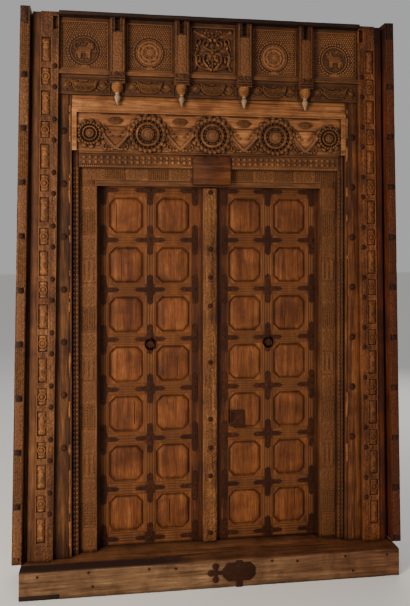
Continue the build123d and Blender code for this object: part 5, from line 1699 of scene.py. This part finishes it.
# Nails of the sill: places across and up its front face, and form
SILL_NAIL_PLACES = ((-0.86, 0.112), (-0.62, 0.118), (-0.6, 0.05), (-0.33, 0.115), (-0.2, 0.109),
                    (0.28, 0.117), (0.41, 0.108), (0.66, 0.116), (0.7, 0.04), (0.88, 0.11))
SILL_FRONT_Y = -0.18
SILL_NAIL = (0.0065, 0.0022, 8, 5)


def make_sill_nails():
    """Old nail heads along the front of the sill."""
    shape = bmesh.new()
    for x, z in SILL_NAIL_PLACES:
        add_bead(shape, x, SILL_FRONT_Y, z, *SILL_NAIL)
    keep(shape, "sill_nails", "frame", "iron", "iron", sharp=60)


# Dark block in the sill's notch: size, middle and worn edge
NOTCH_FILL_SIZE = (0.1885, 0.028, 0.0225)
NOTCH_FILL_PLACE = (-0.8518, -0.1645, 0.01185)
NOTCH_FILL_EDGE = 0.002


def make_sill_patch():
    """Dark block that fills the notch at the sill's lower left corner."""
    shape = bmesh.new()
    size = Matrix.Diagonal((*NOTCH_FILL_SIZE, 1.0))
    made = bmesh.ops.create_cube(shape, size=1.0, matrix=Matrix.Translation(NOTCH_FILL_PLACE) @ size)
    edges = list({edge for vert in made["verts"] for edge in vert.link_edges})
    bmesh.ops.bevel(shape, geom=edges, offset=NOTCH_FILL_EDGE, offset_type="OFFSET", affect="EDGES", segments=2,
                    profile=0.5, material=-1)
    keep(shape, "sill_notch_fill", "frame", "cap", "sill_wood", sharp=40)


# Stage

def make_floor():
    """Plain pale floor."""
    shape = bmesh.new()
    bmesh.ops.create_grid(shape, x_segments=1, y_segments=1, size=40.0)
    mesh = bpy.data.meshes.new("floor")
    shape.to_mesh(mesh)
    shape.free()
    floor = bpy.data.objects.new("floor", mesh)
    bpy.context.scene.collection.objects.link(floor)
    material, _, shader, _ = start_material("pale_floor")
    shader.inputs["Base Color"].default_value = (0.82, 0.81, 0.79, 1.0)
    shader.inputs["Roughness"].default_value = 0.9
    mesh.materials.append(material)


def make_camera():
    """Camera at the photographer's place."""
    data = bpy.data.cameras.new("camera")
    data.sensor_width = SENSOR * 1000
    data.lens = FOCAL_PIXELS / IMAGE_LONG_SIDE * SENSOR * 1000
    data.shift_y = -HORIZON_PIXELS_ABOVE_MIDDLE / IMAGE_LONG_SIDE
    camera = bpy.data.objects.new("camera", data)
    camera.location = EYE
    camera.rotation_euler = (math.radians(90), 0.0, -EYE_TURN)
    bpy.context.scene.collection.objects.link(camera)
    bpy.context.scene.camera = camera


def add_light(name, place, target, size, size_y, watts, colour):
    """Soft rectangular studio light that points at a target."""
    data = bpy.data.lights.new(name, "AREA")
    data.shape = "RECTANGLE"
    data.size = size
    data.size_y = size_y
    data.energy = watts
    data.color = colour
    light = bpy.data.objects.new(name, data)
    light.location = place
    light.rotation_euler = (Vector(target) - Vector(place)).to_track_quat("-Z", "Y").to_euler()
    bpy.context.scene.collection.objects.link(light)


# Lights: name, place, target, width, height, watts and colour
LIGHTS = (
    ("key", (-3.2, -3.3, 1.9), (0.1, 0.0, 1.2), 1.4, 1.8, 280, (1.0, 0.9, 0.76)),
    ("fill", (0.8, -4.8, 2.4), (0.0, 0.0, 1.3), 3.0, 3.0, 32, (1.0, 0.94, 0.86)),
    ("back", (2.4, 4.4, 3.4), (0.0, 0.0, 1.3), 3.0, 3.0, 110, (1.0, 0.95, 0.88)),
)
WORLD_STRENGTH = 0.42


def make_light():
    """Three studio lights and an even white world."""
    for light in LIGHTS:
        add_light(*light)
    world = bpy.data.worlds.new("studio")
    world.use_nodes = True
    world.node_tree.nodes["Background"].inputs[0].default_value = (1.0, 1.0, 1.0, 1.0)
    world.node_tree.nodes["Background"].inputs[1].default_value = WORLD_STRENGTH
    bpy.context.scene.world = world


# Worn copies: the node, width of its worn edges, and where it has them the axis and step of its slices,
# and its wear
WORN_POSTS = (("carved_pilaster_", 0.0012), ("outer_post_", 0.004, 2, 0.03, 0.0012),
              ("cove_strip_", 0.0025, 2, 0.04, 0.001), ("plain_post_", 0.004, 2, 0.025, 0.0016),
              ("bead_strip_", 0.002, 2, 0.04, 0.0008), ("inner_jamb_", 0.002))
WORN_PIECES = (("sill", 0.004, 0, 0.03, 0.0016), ("sill_hasp_plate", 0.0012), ("right_lock_plate", 0.002),
               ("plain_head_rail", 0.003, 0, 0.03, 0.0014), ("crown_cap", 0.004, 0, 0.03, 0.0016),
               ("lintel_centre_block", 0.003))
BRACKET_EDGE = 0.0018


def build_pieces():
    """Builds every piece that stands over or for the CAD."""
    for side, sign in SIDES:
        make_panels(side, sign)
        make_flutes(side, sign)
        make_straps(side, sign)
        make_ring(side, sign)
        make_eye(side, sign)
        for start, *wear in WORN_POSTS:
            soften(start + side, *wear)
    make_astragal()
    make_post_marks("post_nails", NAIL_FORMS, "iron", "iron", "frame_studs")
    make_bead_rows()
    make_jamb_carving()
    make_outer_carving()
    make_pilaster_carving()
    make_rosettes()
    make_frieze_vines()
    make_frieze_leaves()
    make_post_marks("nail_stains", STAIN_FORMS, "cap", "frame_wood")
    make_crown_grounds()
    make_lotus(2)
    make_lotus(4)
    make_foliage()
    make_relief_vines()
    make_dark_rings()
    make_bead_head_rows()
    make_beast(1, 1)
    make_beast(5, -1)
    make_cups()
    make_bracket_carving()
    make_bay_fillets()
    make_worn_beads()
    make_sill_patch()
    make_drops()
    make_sill_nails()
    for wear in WORN_PIECES:
        soften(*wear)
    for number in range(1, 5):
        soften("bracket_" + str(number), BRACKET_EDGE)


build_pieces()
dress_nodes()
make_floor()
make_camera()
make_light()
